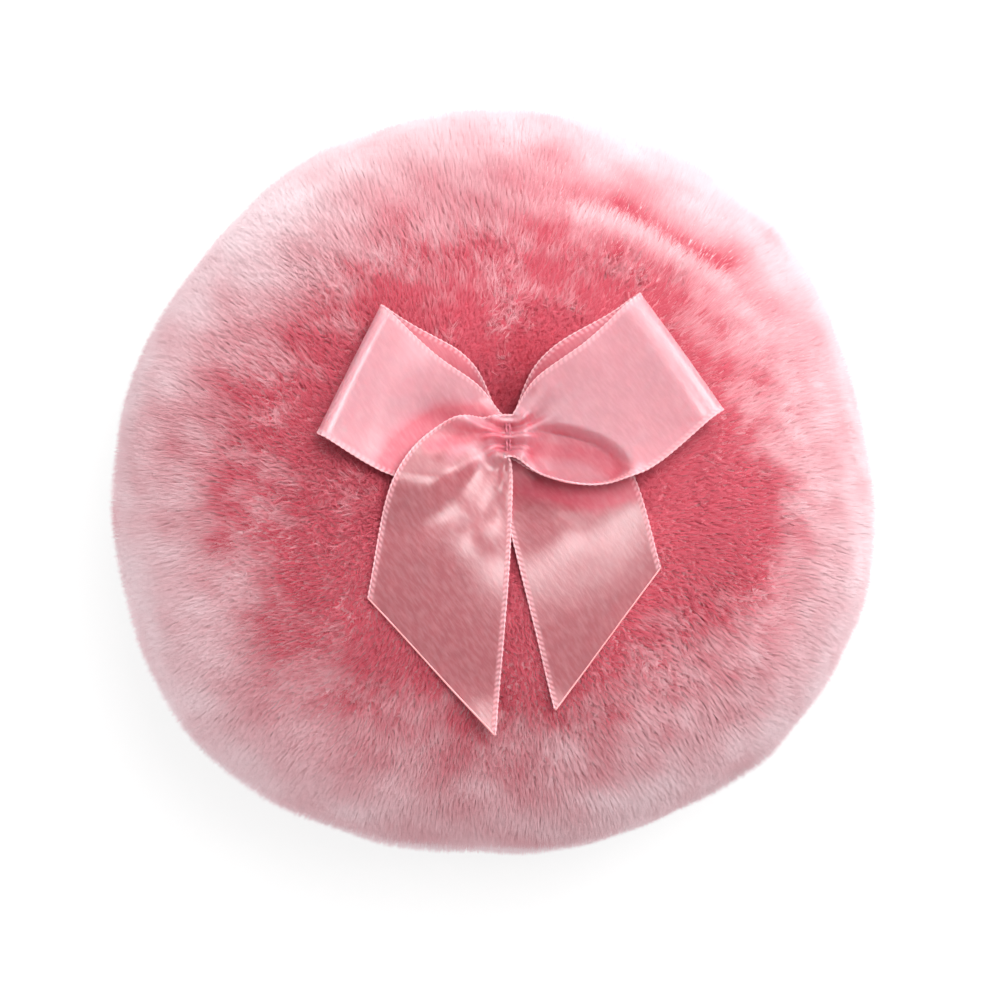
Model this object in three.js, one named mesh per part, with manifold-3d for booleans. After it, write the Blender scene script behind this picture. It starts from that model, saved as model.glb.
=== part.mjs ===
// A round plush powder puff with a satin bow sewn into the middle of its crown.
// Millimetres, +Z up. The origin is the middle of the flat face that the puff rests on.
// The tails of the bow point to -Y, and the turning gap of the rim seam is at +Y.

import * as THREE from "three";
import { mergeVertices } from "three/addons/utils/BufferGeometryUtils.js";
import Module from "manifold-3d";

// Puff body
const puffDiameter = 88;
const equatorHeight = 24;
const crownRise = 27;
const crownFullness = 2.4;
const restDiameter = 46;
const tuftDepth = 7;
const tuftRadius = 9;
const rimDrawIn = 0.8;
const rimDrawSpan = 4;

// Plush fabric: pile standing on a knitted backing, with a turned-in seam allowance
const pileDepth = 9;
const backingThickness = 1;
const seamAllowance = 6;

// Sewing
const threadDiameter = 0.3;
const rimStitchLength = 5;
const closingStitchLength = 4.4;
const stitchInset = 1.5;
const turningGapAngle = THREE.MathUtils.degToRad(60);
const wrapTurns = 2;
const wrapSpacing = 0.75;
const knotDiameter = 1.4;

// Satin ribbon and the bow that it is folded into
const ribbonWidth = 15;
const ribbonThickness = 0.3;
const gatherWidth = 4.8;
const pleatHeight = 0.7;
const pleatReach = 8;
const pleatCount = 8;
const layerPitch = 0.8;
const loopOpening = 3.2;
const loopRampReach = 12;
const loopEdgeDrop = 0.45;
const loopSkew = 2.3;
const foldRadius = 1.3;
const tailDropStart = 5.5;
const tailDropEnd = 14;
const seatBlend = 1.2;

// Clearances
const seamGap = 0.3;
const threadGap = 0.3;
const fillingGap = 0.3;
const bowGap = 0.4;

// Fineness of the facets
const roundSteps = 36;
const fillingRoundSteps = 32;
const threadSides = 5;
const wrapSteps = 24;
const acrossSteps = 8;
const tailSteps = 10;
const loopSteps = 8;
const foldSteps = 4;
const holeSides = 4;
const weldDistance = 1e-4;

// Where the crown's outline is cut into facets: in the dimple, as shares of its radius, and from
// there out to the rim, as shares of that way
const tuftStationShares = [0, 0.34, 0.64, 0.93, 1.27];
const crownStationShares = [0.135, 0.325, 0.53, 0.72, 0.865, 0.96];
const liningStationShares = [0, 0.12, 0.25, 0.4, 0.62, 0.83, 0.96];
const sideStationShares = [0, 0.17, 0.34, 0.5, 0.66, 0.82];

// The two edges of each length of ribbon outside the waist, seen from above, in ribbon widths.
// The front edge leaves the waist on its -Y side and the back edge on its +Y side.
const rightLoopShares = {
  front: [[0.43, -0.37], [0.91, -0.27], [1.42, 0.13]],
  back: [[0.19, 0.41], [0.55, 0.73], [0.85, 1.01]],
};
const leftLoopShares = {
  front: [[-0.43, -0.35], [-0.85, -0.25], [-1.29, -0.02]],
  back: [[-0.21, 0.37], [-0.53, 0.6], [-0.82, 0.92]],
};
const leftTailShares = {
  front: [[-0.1, -0.36], [-0.03, -0.85], [-0.11, -2.16]],
  back: [[-0.49, 0.17], [-0.84, -0.25], [-1.01, -1.17]],
};
const rightTailShares = {
  front: [[0.1, -0.36], [0.08, -0.85], [0.32, -1.98]],
  back: [[0.5, 0.17], [0.85, -0.23], [1.07, -0.95]],
};

const puffRadius = puffDiameter / 2;
const restRadius = restDiameter / 2;
const plushThickness = pileDepth + backingThickness;
const liningRadius = puffRadius - plushThickness;
const threadRadius = threadDiameter / 2;
const knotRadius = knotDiameter / 2;
const stitchRadius = liningRadius - stitchInset;
const allowanceTop = equatorHeight + seamGap / 2 + backingThickness;
const allowanceBottom = equatorHeight - seamGap / 2 - backingThickness;

const wasm = await Module();
wasm.setup();

// A closed mesh as a solid that can be joined and cut.
function toSolid(geometry) {
  const bare = geometry.clone();
  bare.deleteAttribute("normal");
  bare.deleteAttribute("uv");
  const merged = mergeVertices(bare, weldDistance);
  return new wasm.Manifold(
    new wasm.Mesh({
      numProp: 3,
      vertProperties: Float32Array.from(merged.attributes.position.array),
      triVerts: Uint32Array.from(merged.index.array),
    }),
  );
}

function toGeometry(solid) {
  const { vertProperties, triVerts } = solid.getMesh();
  const geometry = new THREE.BufferGeometry();
  geometry.setAttribute("position", new THREE.BufferAttribute(Float32Array.from(vertProperties), 3));
  geometry.setIndex(new THREE.BufferAttribute(Uint32Array.from(triVerts), 1));
  return geometry;
}

// A surface of revolution about Z from [radius, height] pairs.
function revolve(profile, steps) {
  const points = profile.map(([radius, height]) => new THREE.Vector2(radius, height));
  return new THREE.LatheGeometry(points, steps).rotateX(Math.PI / 2);
}

// A closed skin over rings of points: a wall from each ring to the next, and a cap on both ends that
// zips the first half of the ring to the second. Both halves split their walls along the same
// diagonal, so that the two faces of a thin ribbon stay apart where it twists.
function skinRings(rings) {
  const sides = rings[0].length;
  const vertices = rings.flat().flatMap((point) => [point.x, point.y, point.z]);
  const indices = [];
  rings.slice(1).forEach((_, i) => {
    for (let j = 0; j < sides; j++) {
      const a = i * sides + j;
      const b = i * sides + ((j + 1) % sides);
      const sameCorner = j < sides / 2 ? [a, b, a + sides] : [a, b, b + sides];
      const farCorner = j < sides / 2 ? [b, b + sides, a + sides] : [a, b + sides, a + sides];
      indices.push(...sameCorner, ...farCorner);
    }
  });
  const end = (rings.length - 1) * sides;
  for (let low = 0, high = sides - 1; low + 1 < high; low++, high--) {
    indices.push(low, high, low + 1, end + low, end + low + 1, end + high);
    if (low + 2 < high) indices.push(low + 1, high, high - 1, end + low + 1, end + high - 1, end + high);
  }
  const geometry = new THREE.BufferGeometry();
  geometry.setAttribute("position", new THREE.Float32BufferAttribute(vertices, 3));
  geometry.setIndex(indices);
  return geometry;
}

// A thread along a line of points, mitred at each bend so that its thickness never changes.
function threadAlong(points) {
  const ways = points.slice(1).map((point, i) => point.clone().sub(points[i]).normalize());
  const across = new THREE.Vector3(0, 0, 1).cross(ways[0]);
  if (across.lengthSq() < 0.01) across.set(1, 0, 0).cross(ways[0]);
  across.normalize();
  const up = ways[0].clone().cross(across);
  let ring = [];
  for (let j = 0; j < threadSides; j++) {
    const turn = (2 * Math.PI * j) / threadSides;
    const spoke = across.clone().multiplyScalar(Math.cos(turn)).addScaledVector(up, Math.sin(turn));
    ring.push(points[0].clone().addScaledVector(spoke, threadRadius));
  }
  const rings = [ring];
  ways.forEach((way, i) => {
    const mitre = way.clone().add(ways[i + 1] ?? way).normalize();
    ring = ring.map((point) => {
      const travel = points[i + 1].clone().sub(point).dot(mitre) / way.dot(mitre);
      return point.clone().addScaledVector(way, travel);
    });
    rings.push(ring);
  });
  return skinRings(rings);
}

// The smallest gap between turns of a wound thread, taken between its own points.
function leastGap(points, pointsPerTurn) {
  let least = Infinity;
  points.forEach((point, i) => {
    points.slice(i + Math.floor(pointsPerTurn / 2)).forEach((other) => {
      least = Math.min(least, point.distanceTo(other) - threadDiameter);
    });
  });
  return least;
}

// Height of the fur's crown at a distance from the middle, with the dimple that the sewn bow pulls in.
function crownHeight(radius, reach, rise) {
  const share = Math.min(radius / reach, 1);
  const dome = rise * Math.sqrt(1 - share ** crownFullness);
  return equatorHeight + dome - tuftDepth * Math.exp(-((radius / tuftRadius) ** 2));
}

const furCrown = (radius) => crownHeight(radius, puffRadius, crownRise);
const liningCrown = (radius) => crownHeight(radius, liningRadius, crownRise - plushThickness);

// The rim seam draws the side of the puff in a little.
function drawIn(radius, height) {
  return radius - rimDrawIn * Math.exp(-(((height - equatorHeight) / rimDrawSpan) ** 2));
}

// The side of the base, from the flat rest face round to the rim.
function baseOutline(outerRadius, floorHeight, topHeight) {
  const height = equatorHeight - floorHeight;
  const endTurn = Math.acos((equatorHeight - topHeight) / height);
  return [...sideStationShares, 1].map((share) => {
    const turn = share * endTurn;
    const radius = restRadius + (outerRadius - restRadius) * Math.sin(turn);
    return [radius, floorHeight + height * (1 - Math.cos(turn))];
  });
}

function crownOutline(stations, heightAt) {
  return stations.map((radius) => [radius, heightAt(radius)]);
}

function furStations() {
  const tuft = tuftStationShares.map((share) => share * tuftRadius);
  const edge = tuft.at(-1);
  return [...tuft, ...crownStationShares.map((share) => edge + share * (puffRadius - edge))];
}

const liningStations = (reach) => liningStationShares.map((share) => share * reach);

// Needle holes stand on one circle inside the rim. The machine seam leaves the turning gap open,
// and the hand stitches that close the gap have holes of their own between its ends.
function holeAngles(start, sweep, stitchLength) {
  const count = Math.round((sweep * stitchRadius) / stitchLength);
  return Array.from({ length: count + 1 }, (_, i) => start + (sweep * i) / count);
}

const gapMiddle = Math.PI / 2;
const gapMargin = rimStitchLength / 2 / stitchRadius;
const rimHoles = holeAngles(
  gapMiddle + turningGapAngle / 2,
  2 * Math.PI - turningGapAngle,
  rimStitchLength,
);
const closingHoles = holeAngles(
  gapMiddle - turningGapAngle / 2 + gapMargin,
  turningGapAngle - 2 * gapMargin,
  closingStitchLength,
);

function needleHoles(middleHeight) {
  const width = threadRadius + threadGap;
  const length = 2 * (backingThickness + seamGap);
  const holes = [...rimHoles, ...closingHoles].map((angle) => {
    const hole = new THREE.CylinderGeometry(width * Math.SQRT2, width * Math.SQRT2, length, holeSides, 1);
    hole.rotateX(Math.PI / 2);
    hole.rotateZ(angle + Math.PI / holeSides);
    hole.translate(stitchRadius * Math.cos(angle), stitchRadius * Math.sin(angle), middleHeight);
    return toSolid(hole);
  });
  return wasm.Manifold.union(holes);
}

// Heights in the stack that holds the bow in its dimple, from the fur up to the top wrap.
const dimpleFloor = furCrown(0);
const wrapBottom = dimpleFloor + bowGap + threadRadius;
const anchorTop = wrapBottom + threadDiameter + threadGap;
const waistFloor = anchorTop + threadRadius + threadGap + ribbonThickness / 2;
const waistCeiling = waistFloor + 2 * layerPitch + pleatHeight + ribbonThickness / 2;
const wrapTop = waistCeiling + threadGap + threadRadius;
const wrapsHalf = (wrapTurns * wrapSpacing) / 2 + threadRadius;
const waistHalf = wrapsHalf + threadGap;
const anchorHalf = wrapsHalf + threadGap + threadRadius;
const knotHeight = liningCrown(0) - threadGap - knotRadius;

function furTopPanel() {
  const bottom = equatorHeight + seamGap / 2;
  const lining = crownOutline(liningStations(liningRadius), liningCrown);
  const fur = crownOutline(furStations(), furCrown).reverse();
  const panel = revolve(
    [
      ...lining,
      [liningRadius, allowanceTop],
      [liningRadius - seamAllowance, allowanceTop],
      [liningRadius - seamAllowance, bottom],
      [drawIn(puffRadius, bottom), bottom],
      ...fur.map(([radius, height]) => [radius && drawIn(radius, height), height]),
    ],
    roundSteps,
  );
  const channels = [-anchorHalf, anchorHalf].map((x) => {
    const width = threadRadius + threadGap;
    const channel = new THREE.CylinderGeometry(width, width, 2 * plushThickness, threadSides, 1);
    channel.rotateX(Math.PI / 2).translate(x, 0, dimpleFloor - plushThickness / 2);
    return toSolid(channel);
  });
  const holes = needleHoles((bottom + allowanceTop) / 2);
  return toGeometry(toSolid(panel).subtract(wasm.Manifold.union([holes, ...channels])));
}

function furBasePanel() {
  const top = equatorHeight - seamGap / 2;
  const fur = baseOutline(puffRadius, 0, top);
  const lining = baseOutline(liningRadius, plushThickness, allowanceBottom).reverse();
  const panel = revolve(
    [
      [0, 0],
      ...fur.map(([radius, height]) => [drawIn(radius, height), height]),
      [liningRadius - seamAllowance, top],
      [liningRadius - seamAllowance, allowanceBottom],
      ...lining,
      [0, plushThickness],
    ],
    roundSteps,
  );
  return toGeometry(toSolid(panel).subtract(needleHoles((top + allowanceBottom) / 2)));
}

// The filling swells up to the lining and parts round the seam allowances and the anchor's knot.
function fibreFilling() {
  const reach = liningRadius - fillingGap;
  const clearance = backingThickness + seamGap / 2 + threadDiameter + 2 * threadGap;
  const waistRadius = liningRadius - seamAllowance - fillingGap;
  const knotRoom = knotDiameter + 2 * threadGap;
  const crown = (radius) => {
    const room = knotRoom * Math.exp(-((radius / (2 * knotDiameter)) ** 2));
    const rise = crownRise - plushThickness - fillingGap;
    return crownHeight(radius, reach, rise) - room;
  };
  const sides = baseOutline(reach, plushThickness + fillingGap, equatorHeight - clearance);
  const stations = liningStations(reach);
  return revolve(
    [
      [0, plushThickness + fillingGap],
      ...sides,
      [waistRadius, equatorHeight - clearance],
      [waistRadius, equatorHeight + clearance],
      [stations.at(-1), equatorHeight + clearance],
      ...crownOutline(stations.slice(0, -1), crown).reverse(),
    ],
    fillingRoundSteps,
  );
}

// A stitch runs along one face of the two allowances, drops through the next needle hole
// and runs on along the other face.
function seamThread(holes) {
  const run = backingThickness + seamGap / 2 + threadGap + threadRadius;
  const corner = threadDiameter;
  const cornerTurn = corner / stitchRadius;
  const at = (angle, height) =>
    new THREE.Vector3(
      stitchRadius * Math.cos(angle),
      stitchRadius * Math.sin(angle),
      equatorHeight + height,
    );
  const points = holes.flatMap((angle, i) => {
    const from = i % 2 ? -run : run;
    const step = Math.sign(from) * corner;
    return [
      at(angle - cornerTurn, from),
      at(angle, from - step),
      at(angle, step - from),
      at(angle + cornerTurn, -from),
    ];
  });
  return threadAlong(points);
}

function smoothStep(value, from, to) {
  return THREE.MathUtils.smoothstep(value, from, to);
}

// The larger of two heights, with the corner between them rounded off.
function softMax(a, b) {
  const near = Math.max(seatBlend - Math.abs(a - b), 0) / seatBlend;
  return Math.max(a, b) + (near * near * seatBlend) / 4;
}

// How far the pleats stand up. They fan out from the waist and fade on the way.
function pleat(x, y) {
  const fan = Math.atan2(y, Math.max(Math.abs(x), waistHalf) + waistHalf);
  const fade = 1 - smoothStep(Math.hypot(x, y), gatherWidth / 2, pleatReach);
  return (pleatHeight * fade * (1 + Math.cos(pleatCount * fan))) / 2;
}

// How far the two layers of a loop stand apart, which is most along the loop's middle line.
function loopPocket(x, y, shares) {
  const [frontX, frontY] = shares.front.at(-1);
  const [backX, backY] = shares.back.at(-1);
  const middle = new THREE.Vector2(frontX + backX, frontY + backY).normalize();
  const aside = (2 * (x * middle.y - y * middle.x)) / ribbonWidth;
  const ramp = smoothStep(Math.hypot(x, y), gatherWidth / 2, loopRampReach);
  return loopOpening * ramp * (1 - loopEdgeDrop * Math.min(aside * aside, 1));
}

// The layers above the fur on each side of the waist, as heights above the lowest one.
const lifts = {
  leftLoopUnder: () => 0,
  leftLoopOver: (x, y) => layerPitch + loopPocket(x, y, leftLoopShares),
  leftTail: (x, y) => {
    const over = 2 * layerPitch + loopPocket(x, y, leftLoopShares);
    return over * (1 - smoothStep(-y, tailDropStart, tailDropEnd));
  },
  rightTail: () => 0,
  rightLoopUnder: () => layerPitch,
  rightLoopOver: (x, y) => 2 * layerPitch + loopPocket(x, y, rightLoopShares),
};

function ribbonPoint(x, y, lift) {
  const seat = furCrown(Math.hypot(x, y)) + bowGap + ribbonThickness / 2;
  return new THREE.Vector3(x, y, softMax(waistFloor, seat) + lift(x, y) + pleat(x, y));
}

// Rows of points across the ribbon, from the waist out to its end, on one side of the waist.
function ribbonRows(side, shares, lift, steps, skew = 0) {
  const edge = (end, places) =>
    new THREE.SplineCurve([
      new THREE.Vector2(side * waistHalf, (end * gatherWidth) / 2),
      ...places.map(([x, y]) => new THREE.Vector2(x * ribbonWidth, y * ribbonWidth)),
    ]);
  const front = edge(-1, shares.front);
  const back = edge(1, shares.back);
  return Array.from({ length: steps + 1 }, (_, i) => {
    const along = i / steps;
    const from = front.getPoint(along);
    const to = back.getPoint(along);
    const shift = skew * Math.sin(Math.PI * along) ** 2;
    return Array.from({ length: acrossSteps + 1 }, (_, j) => {
      const place = from.clone().lerp(to, j / acrossSteps);
      return ribbonPoint(place.x, place.y + shift, lift);
    });
  });
}

// The soft bend at the end of a loop, from the upper layer's last row round to the lower layer's.
function foldRows(upper, lower) {
  const along = upper.at(-1).clone().sub(upper[0]).setZ(0).normalize();
  const out = new THREE.Vector3(along.y, -along.x, 0);
  if (out.dot(upper[0]) < 0) out.negate();
  return Array.from({ length: foldSteps - 1 }, (_, k) => {
    const turn = (Math.PI * (k + 1)) / foldSteps;
    return upper.map((top, j) => {
      const middle = top.clone().add(lower[j]).multiplyScalar(0.5);
      const half = (top.z - lower[j].z) / 2;
      const point = middle.addScaledVector(out, foldRadius * Math.sin(turn));
      return point.setZ(point.z + half * Math.cos(turn));
    });
  });
}

// One ribbon makes the whole bow. It comes in from the left tail, crosses the waist,
// makes the right loop, crosses back, makes the left loop, crosses again and ends as the right tail.
function bowRibbon() {
  const leftTail = ribbonRows(-1, leftTailShares, lifts.leftTail, tailSteps);
  const rightOver = ribbonRows(1, rightLoopShares, lifts.rightLoopOver, loopSteps);
  const rightUnder = ribbonRows(1, rightLoopShares, lifts.rightLoopUnder, loopSteps, loopSkew);
  const leftOver = ribbonRows(-1, leftLoopShares, lifts.leftLoopOver, loopSteps);
  const leftUnder = ribbonRows(-1, leftLoopShares, lifts.leftLoopUnder, loopSteps, loopSkew);
  const rightTail = ribbonRows(1, rightTailShares, lifts.rightTail, tailSteps);
  const rows = [
    ...leftTail.reverse(),
    ...rightOver,
    ...foldRows(rightOver.at(-1), rightUnder.at(-1)),
    ...rightUnder.reverse(),
    ...leftOver,
    ...foldRows(leftOver.at(-1), leftUnder.at(-1)),
    ...leftUnder.reverse(),
    ...rightTail,
  ];
  return skinRings(
    rows.map((row, i) => {
      const faceUp = row.map((point, j) => {
        const along = rows[Math.min(i + 1, rows.length - 1)][j].clone().sub(rows[Math.max(i - 1, 0)][j]);
        const across = row[Math.min(j + 1, acrossSteps)].clone().sub(row[Math.max(j - 1, 0)]);
        return along.cross(across).setLength(ribbonThickness / 2);
      });
      const top = row.map((point, j) => point.clone().add(faceUp[j]));
      const bottom = row.map((point, j) => point.clone().sub(faceUp[j]));
      return [...bottom, ...top.reverse()];
    }),
  );
}

// The thread that draws the waist in: turns of a squarish coil round the three layers of ribbon.
function cinchThread() {
  const halfWidth = (gatherWidth / 2 + threadGap + threadRadius) * Math.SQRT2 ** 0.5;
  const halfHeight = (wrapTop - wrapBottom) / 2;
  const squared = (value) => Math.sign(value) * Math.sqrt(Math.abs(value));
  const count = wrapTurns * wrapSteps;
  const points = Array.from({ length: count + 1 }, (_, i) => {
    const turn = (2 * Math.PI * i) / wrapSteps - Math.PI / 2;
    return new THREE.Vector3(
      wrapSpacing * (i / wrapSteps - wrapTurns / 2),
      halfWidth * squared(Math.cos(turn)),
      wrapBottom + halfHeight * (1 + squared(Math.sin(turn))),
    );
  });
  console.log("least gap in the cinch thread:", leastGap(points, wrapSteps).toFixed(2), "mm");
  return threadAlong(points);
}

// The thread that sews the bow down. It hooks over the wraps under the waist, runs down through
// the plush on both sides of them and is knotted against the backing.
function anchorThread() {
  const at = (x, z) => new THREE.Vector3(x, 0, z);
  const bend = threadDiameter;
  const half = [
    [knotRadius / 2, knotHeight],
    [anchorHalf - bend, knotHeight],
    [anchorHalf, knotHeight + bend],
    [anchorHalf, anchorTop - bend],
    [anchorHalf - bend, anchorTop],
  ];
  const points = [
    ...half.map(([x, z]) => at(-x, z)),
    ...half.reverse().map(([x, z]) => at(x, z)),
  ];
  const knot = new THREE.IcosahedronGeometry(knotRadius, 1).translate(0, 0, knotHeight);
  return toGeometry(toSolid(threadAlong(points)).add(toSolid(knot)));
}

const plush = { color: 0xe496a5, roughness: 0.95, metalness: 0 };
const satin = { color: 0xe9b0b7, roughness: 0.38, metalness: 0 };
const sewingThread = { color: 0xc7707f, roughness: 0.6, metalness: 0 };
const fibre = { color: 0xf3efe9, roughness: 0.95, metalness: 0 };

const puff = new THREE.Group();

function addPiece(name, geometry, finish) {
  const piece = new THREE.Mesh(geometry, new THREE.MeshStandardMaterial(finish));
  piece.name = name;
  puff.add(piece);
}

addPiece("fur_top_panel", furTopPanel(), plush);
addPiece("fur_base_panel", furBasePanel(), plush);
addPiece("fibre_filling", fibreFilling(), fibre);
addPiece("rim_seam_thread", seamThread(rimHoles), sewingThread);
addPiece("closing_stitch_thread", seamThread(closingHoles), sewingThread);
addPiece("bow_ribbon", bowRibbon(), satin);
addPiece("cinch_thread", cinchThread(), sewingThread);
addPiece("anchor_thread", anchorThread(), sewingThread);

export default puff;
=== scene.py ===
"""A round plush powder puff with a satin bow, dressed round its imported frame."""

import math
import bpy
import numpy as np
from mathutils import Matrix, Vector
from mathutils.bvhtree import BVHTree
from mathutils.kdtree import KDTree


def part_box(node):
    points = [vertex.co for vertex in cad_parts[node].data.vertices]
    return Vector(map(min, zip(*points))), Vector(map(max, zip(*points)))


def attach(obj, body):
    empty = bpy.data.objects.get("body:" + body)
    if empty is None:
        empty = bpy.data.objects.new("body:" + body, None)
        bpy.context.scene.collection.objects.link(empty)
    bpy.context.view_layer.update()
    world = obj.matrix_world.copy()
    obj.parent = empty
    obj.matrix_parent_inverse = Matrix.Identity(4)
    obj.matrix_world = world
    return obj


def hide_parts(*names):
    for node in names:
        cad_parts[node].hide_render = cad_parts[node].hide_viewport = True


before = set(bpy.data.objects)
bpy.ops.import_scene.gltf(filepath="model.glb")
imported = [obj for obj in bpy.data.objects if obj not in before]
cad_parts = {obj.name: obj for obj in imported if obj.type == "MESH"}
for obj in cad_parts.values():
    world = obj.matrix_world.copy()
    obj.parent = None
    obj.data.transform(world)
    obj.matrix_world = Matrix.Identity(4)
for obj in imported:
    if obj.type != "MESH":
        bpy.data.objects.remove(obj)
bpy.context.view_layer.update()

bl_info = {
    "name": "Powder puff",
    "version": (1, 0, 0),
    "blender": (4, 5, 0),
    "location": "View3D > Sidebar > Puff",
    "description": "Builds a plush powder puff with a satin bow",
    "category": "Object",
}

MM = 0.001
GOLDEN_ANGLE = math.pi * (3 - math.sqrt(5))
ROOT = "root"
BAKE_MAP = "OFBake"
CLOTH_MAP = "RibbonMap"
PAINTED_SHADE_MAP = "RibbonOpenness"

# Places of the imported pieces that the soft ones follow
TOP_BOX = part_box("fur_top_panel")
BASE_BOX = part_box("fur_base_panel")
CINCH_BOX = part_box("cinch_thread")
EQUATOR = (TOP_BOX[0].z + BASE_BOX[1].z) / 2
RIM_INSET = 0.6 * MM
RIM_RADIUS = TOP_BOX[1].x - RIM_INSET

# The two edges of each length of ribbon outside the waist, seen from above, in ribbon widths.
# The front edge leaves the waist on its -Y side and the back edge on its +Y side.
RIGHT_LOOP_SHARES = {
    "front": ((0.43, -0.38), (0.93, -0.33), (1.47, 0.08)),
    "back": ((0.19, 0.385), (0.555, 0.63), (0.895, 0.935)),
}
LEFT_LOOP_SHARES = {
    "front": ((-0.43, -0.37), (-0.86, -0.31), (-1.345, -0.053)),
    "back": ((-0.21, 0.37), (-0.53, 0.57), (-0.89, 0.882)),
}
LEFT_TAIL_SHARES = {
    "front": ((0.02, -0.24), (0.0, -0.8), (-0.105, -2.14)),
    "back": ((-0.49, 0.06), (-0.84, -0.38), (-1.01, -1.17)),
}
RIGHT_TAIL_SHARES = {
    "front": ((-0.03, -0.24), (0.03, -0.8), (0.325, -1.96)),
    "back": ((0.5, 0.17), (0.86, -0.24), (1.08, -0.96)),
}

# Soft folds that run out from the waist, for each length of ribbon that lies on top: the angle
# from +X, the height, how fast it falls off towards smaller and larger angles, and the distances
# from the waist at which it starts, is highest and ends, in millimetres
FOLDS = {
    "left tail": (
        {"angle": 163, "height": 1.9, "spreads": (16, 8), "reach": (1.2, 5, 13)},
        {"angle": 213, "height": 1.25, "spreads": (20, 13), "reach": (1.2, 8, 17)},
        {"angle": 247, "height": 1.3, "spreads": (27, 14), "reach": (4, 10, 20)},
        {"angle": 262, "height": 0.25, "spreads": (5, 5), "reach": (1.5, 4, 8)},
    ),
    "left over": (
        {"angle": 168, "height": -1.2, "spreads": (18, 22), "reach": (3, 7.5, 14)},
    ),
    "right over": (
        {"angle": 22, "height": 0.4, "spreads": (6, 6), "reach": (1, 3.5, 8)},
        {"angle": 48, "height": 0.4, "spreads": (8, 8), "reach": (1, 4, 9)},
        {"angle": -50, "height": 0.4, "spreads": (8, 8), "reach": (1.5, 4, 9)},
    ),
    "right tail": (
        {"angle": -60, "height": 0.8, "spreads": (22, 14), "reach": (5, 10, 18)},
    ),
}

# The hollow behind the rolled lip of the right loop, as its middle, its turn and half its lengths,
# how far the face round it rises and it sinks, and the line and height of the lip
LIP_CUP = {"middle": (6.2, -2.5), "turn": -20, "halves": (6.4, 2.9), "rise": 1.7, "sink": -0.9}
LIP = {"line": ((1.2, -2.9), (3.4, -4.6), (6.4, -5.7), (9.8, -5.6), (13.0, -4.9)),
       "width": 0.8, "height": 0.5}

# Hollows of the bow where the satin is painted deep pink as shade, standing in for the shade and pink
# light that its folds throw on each other, for each length of ribbon, as lines seen from above in
# millimetres, with how wide and how deep each one is
SHADED_HOLLOWS = {
    "left over": {"line": ((-3.4, 2.6), (-7.5, 2.1), (-9.9, 0.5), (-12.0, -1.4), (-13.2, -3.6)),
                  "width": 1.2, "depth": 0.6},
    "left tail": {"line": ((-1.6, 0.3), (-5.0, -0.3), (-8.5, -1.5)), "width": 1.0, "depth": 0.4},
    "right over": {"line": ((3.0, -1.3), (6.8, -1.7), (9.5, -2.7), (11.6, -4.3)),
                   "width": 1.2, "depth": 0.4},
    "right tail": {"line": ((1.4, -4.2), (6.0, -5.8), (9.0, -6.8), (12.7, -5.8)),
                   "width": 1.5, "depth": 0.75},
    "right under": {"line": ((3.0, 7.0), (12.0, 15.0)), "width": 9.0, "depth": 0.45},
    "left under": {"line": ((-3.0, 7.0), (-12.0, 14.0)), "width": 9.0, "depth": 0.45},
}

# Grooves and ridges in the pile, as lines seen from above in millimetres from the bow, with how
# wide each one is, how much longer or shorter its fibres are and how much paler or deeper: the
# paler ridges are painted light and the deeper grooves painted shade
FURROWS = (
    {"line": ((8.0, 25.4), (11.4, 25.0), (14.6, 22.9), (18.5, 20.6), (24.0, 18.2)),
     "width": 1.3, "rise": 0.22, "tone": 0.36},
    {"line": ((12.4, 26.8), (16.2, 25.0), (19.6, 22.8), (24.5, 20.9)),
     "width": 1.2, "rise": -0.30, "tone": -0.34},
    {"line": ((-30.5, -10.4), (-26.5, -9.4), (-23.6, -10.6)),
     "width": 1.6, "rise": -0.2, "tone": -0.30},
    {"line": ((-22.9, -11.0), (-22.4, -14.0), (-22.3, -17.4)),
     "width": 0.6, "rise": -0.3, "tone": -0.45},
    {"line": ((-4.5, 13.4), (-3.4, 7.2)), "width": 1.2, "rise": -0.3, "tone": -0.30},
)

# Patches where the pile is paler or deeper, partly its own mottling and partly painted light and
# shade, such as the deep patch beside the bow on the right and the deeper front edge: where each
# one is, seen from above in millimetres from the bow, how far it spreads and how much paler it is
FLUSHES = (
    ((22.5, -8.0), 7.5, -0.40),
    ((28.5, -17.0), 8.5, -0.20),
    ((23.0, -30.0), 8.0, -0.14),
    ((-2.0, -39.0), 13.0, -0.25),
    ((-19.0, -33.0), 8.0, -0.16),
    ((-24.0, -22.0), 9.5, -0.27),
    ((-18.0, -14.0), 6.0, -0.04),
    ((-27.0, -14.5), 4.0, 0.16),
    ((-37.0, -1.0), 7.0, -0.15),
    ((-29.0, 3.0), 8.0, -0.12),
    ((-24.0, 24.0), 9.0, 0.28),
    ((-3.0, 25.0), 9.0, 0.12),
    ((2.0, 39.0), 11.0, -0.08),
    ((30.0, 28.0), 10.0, -0.14),
    ((25.0, 12.0), 4.5, 0.16),
    ((34.0, 13.0), 7.0, -0.15),
    ((29.0, 1.0), 4.5, 0.12),
    ((38.0, 1.0), 6.0, -0.12),
)

# How the rim stands out or in from a round one, as angles from +X with amounts in millimetres
RIM_SWELLS = ((222, 1.6), (335, 1.0), (4, -0.9), (272, -1.3), (140, -0.9), (42, 0.6))
RIM_SWELL_SPREAD = 21
RIM_SWELL_START_SHARE = 0.55
BODY_LUMP = 0.3 * MM
BODY_LUMP_WIDTH = 24 * MM

# The lamps, as where each one stands and how wide it is, in millimetres
LAMPS = {
    "key": ((120, 520, 500), 520),
    "top": ((110, 25, 650), 260),
    "left": ((-560, -60, 330), 480),
    "right": ((420, 340, 330), 250),
    "front": ((60, -600, 360), 420),
}


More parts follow.
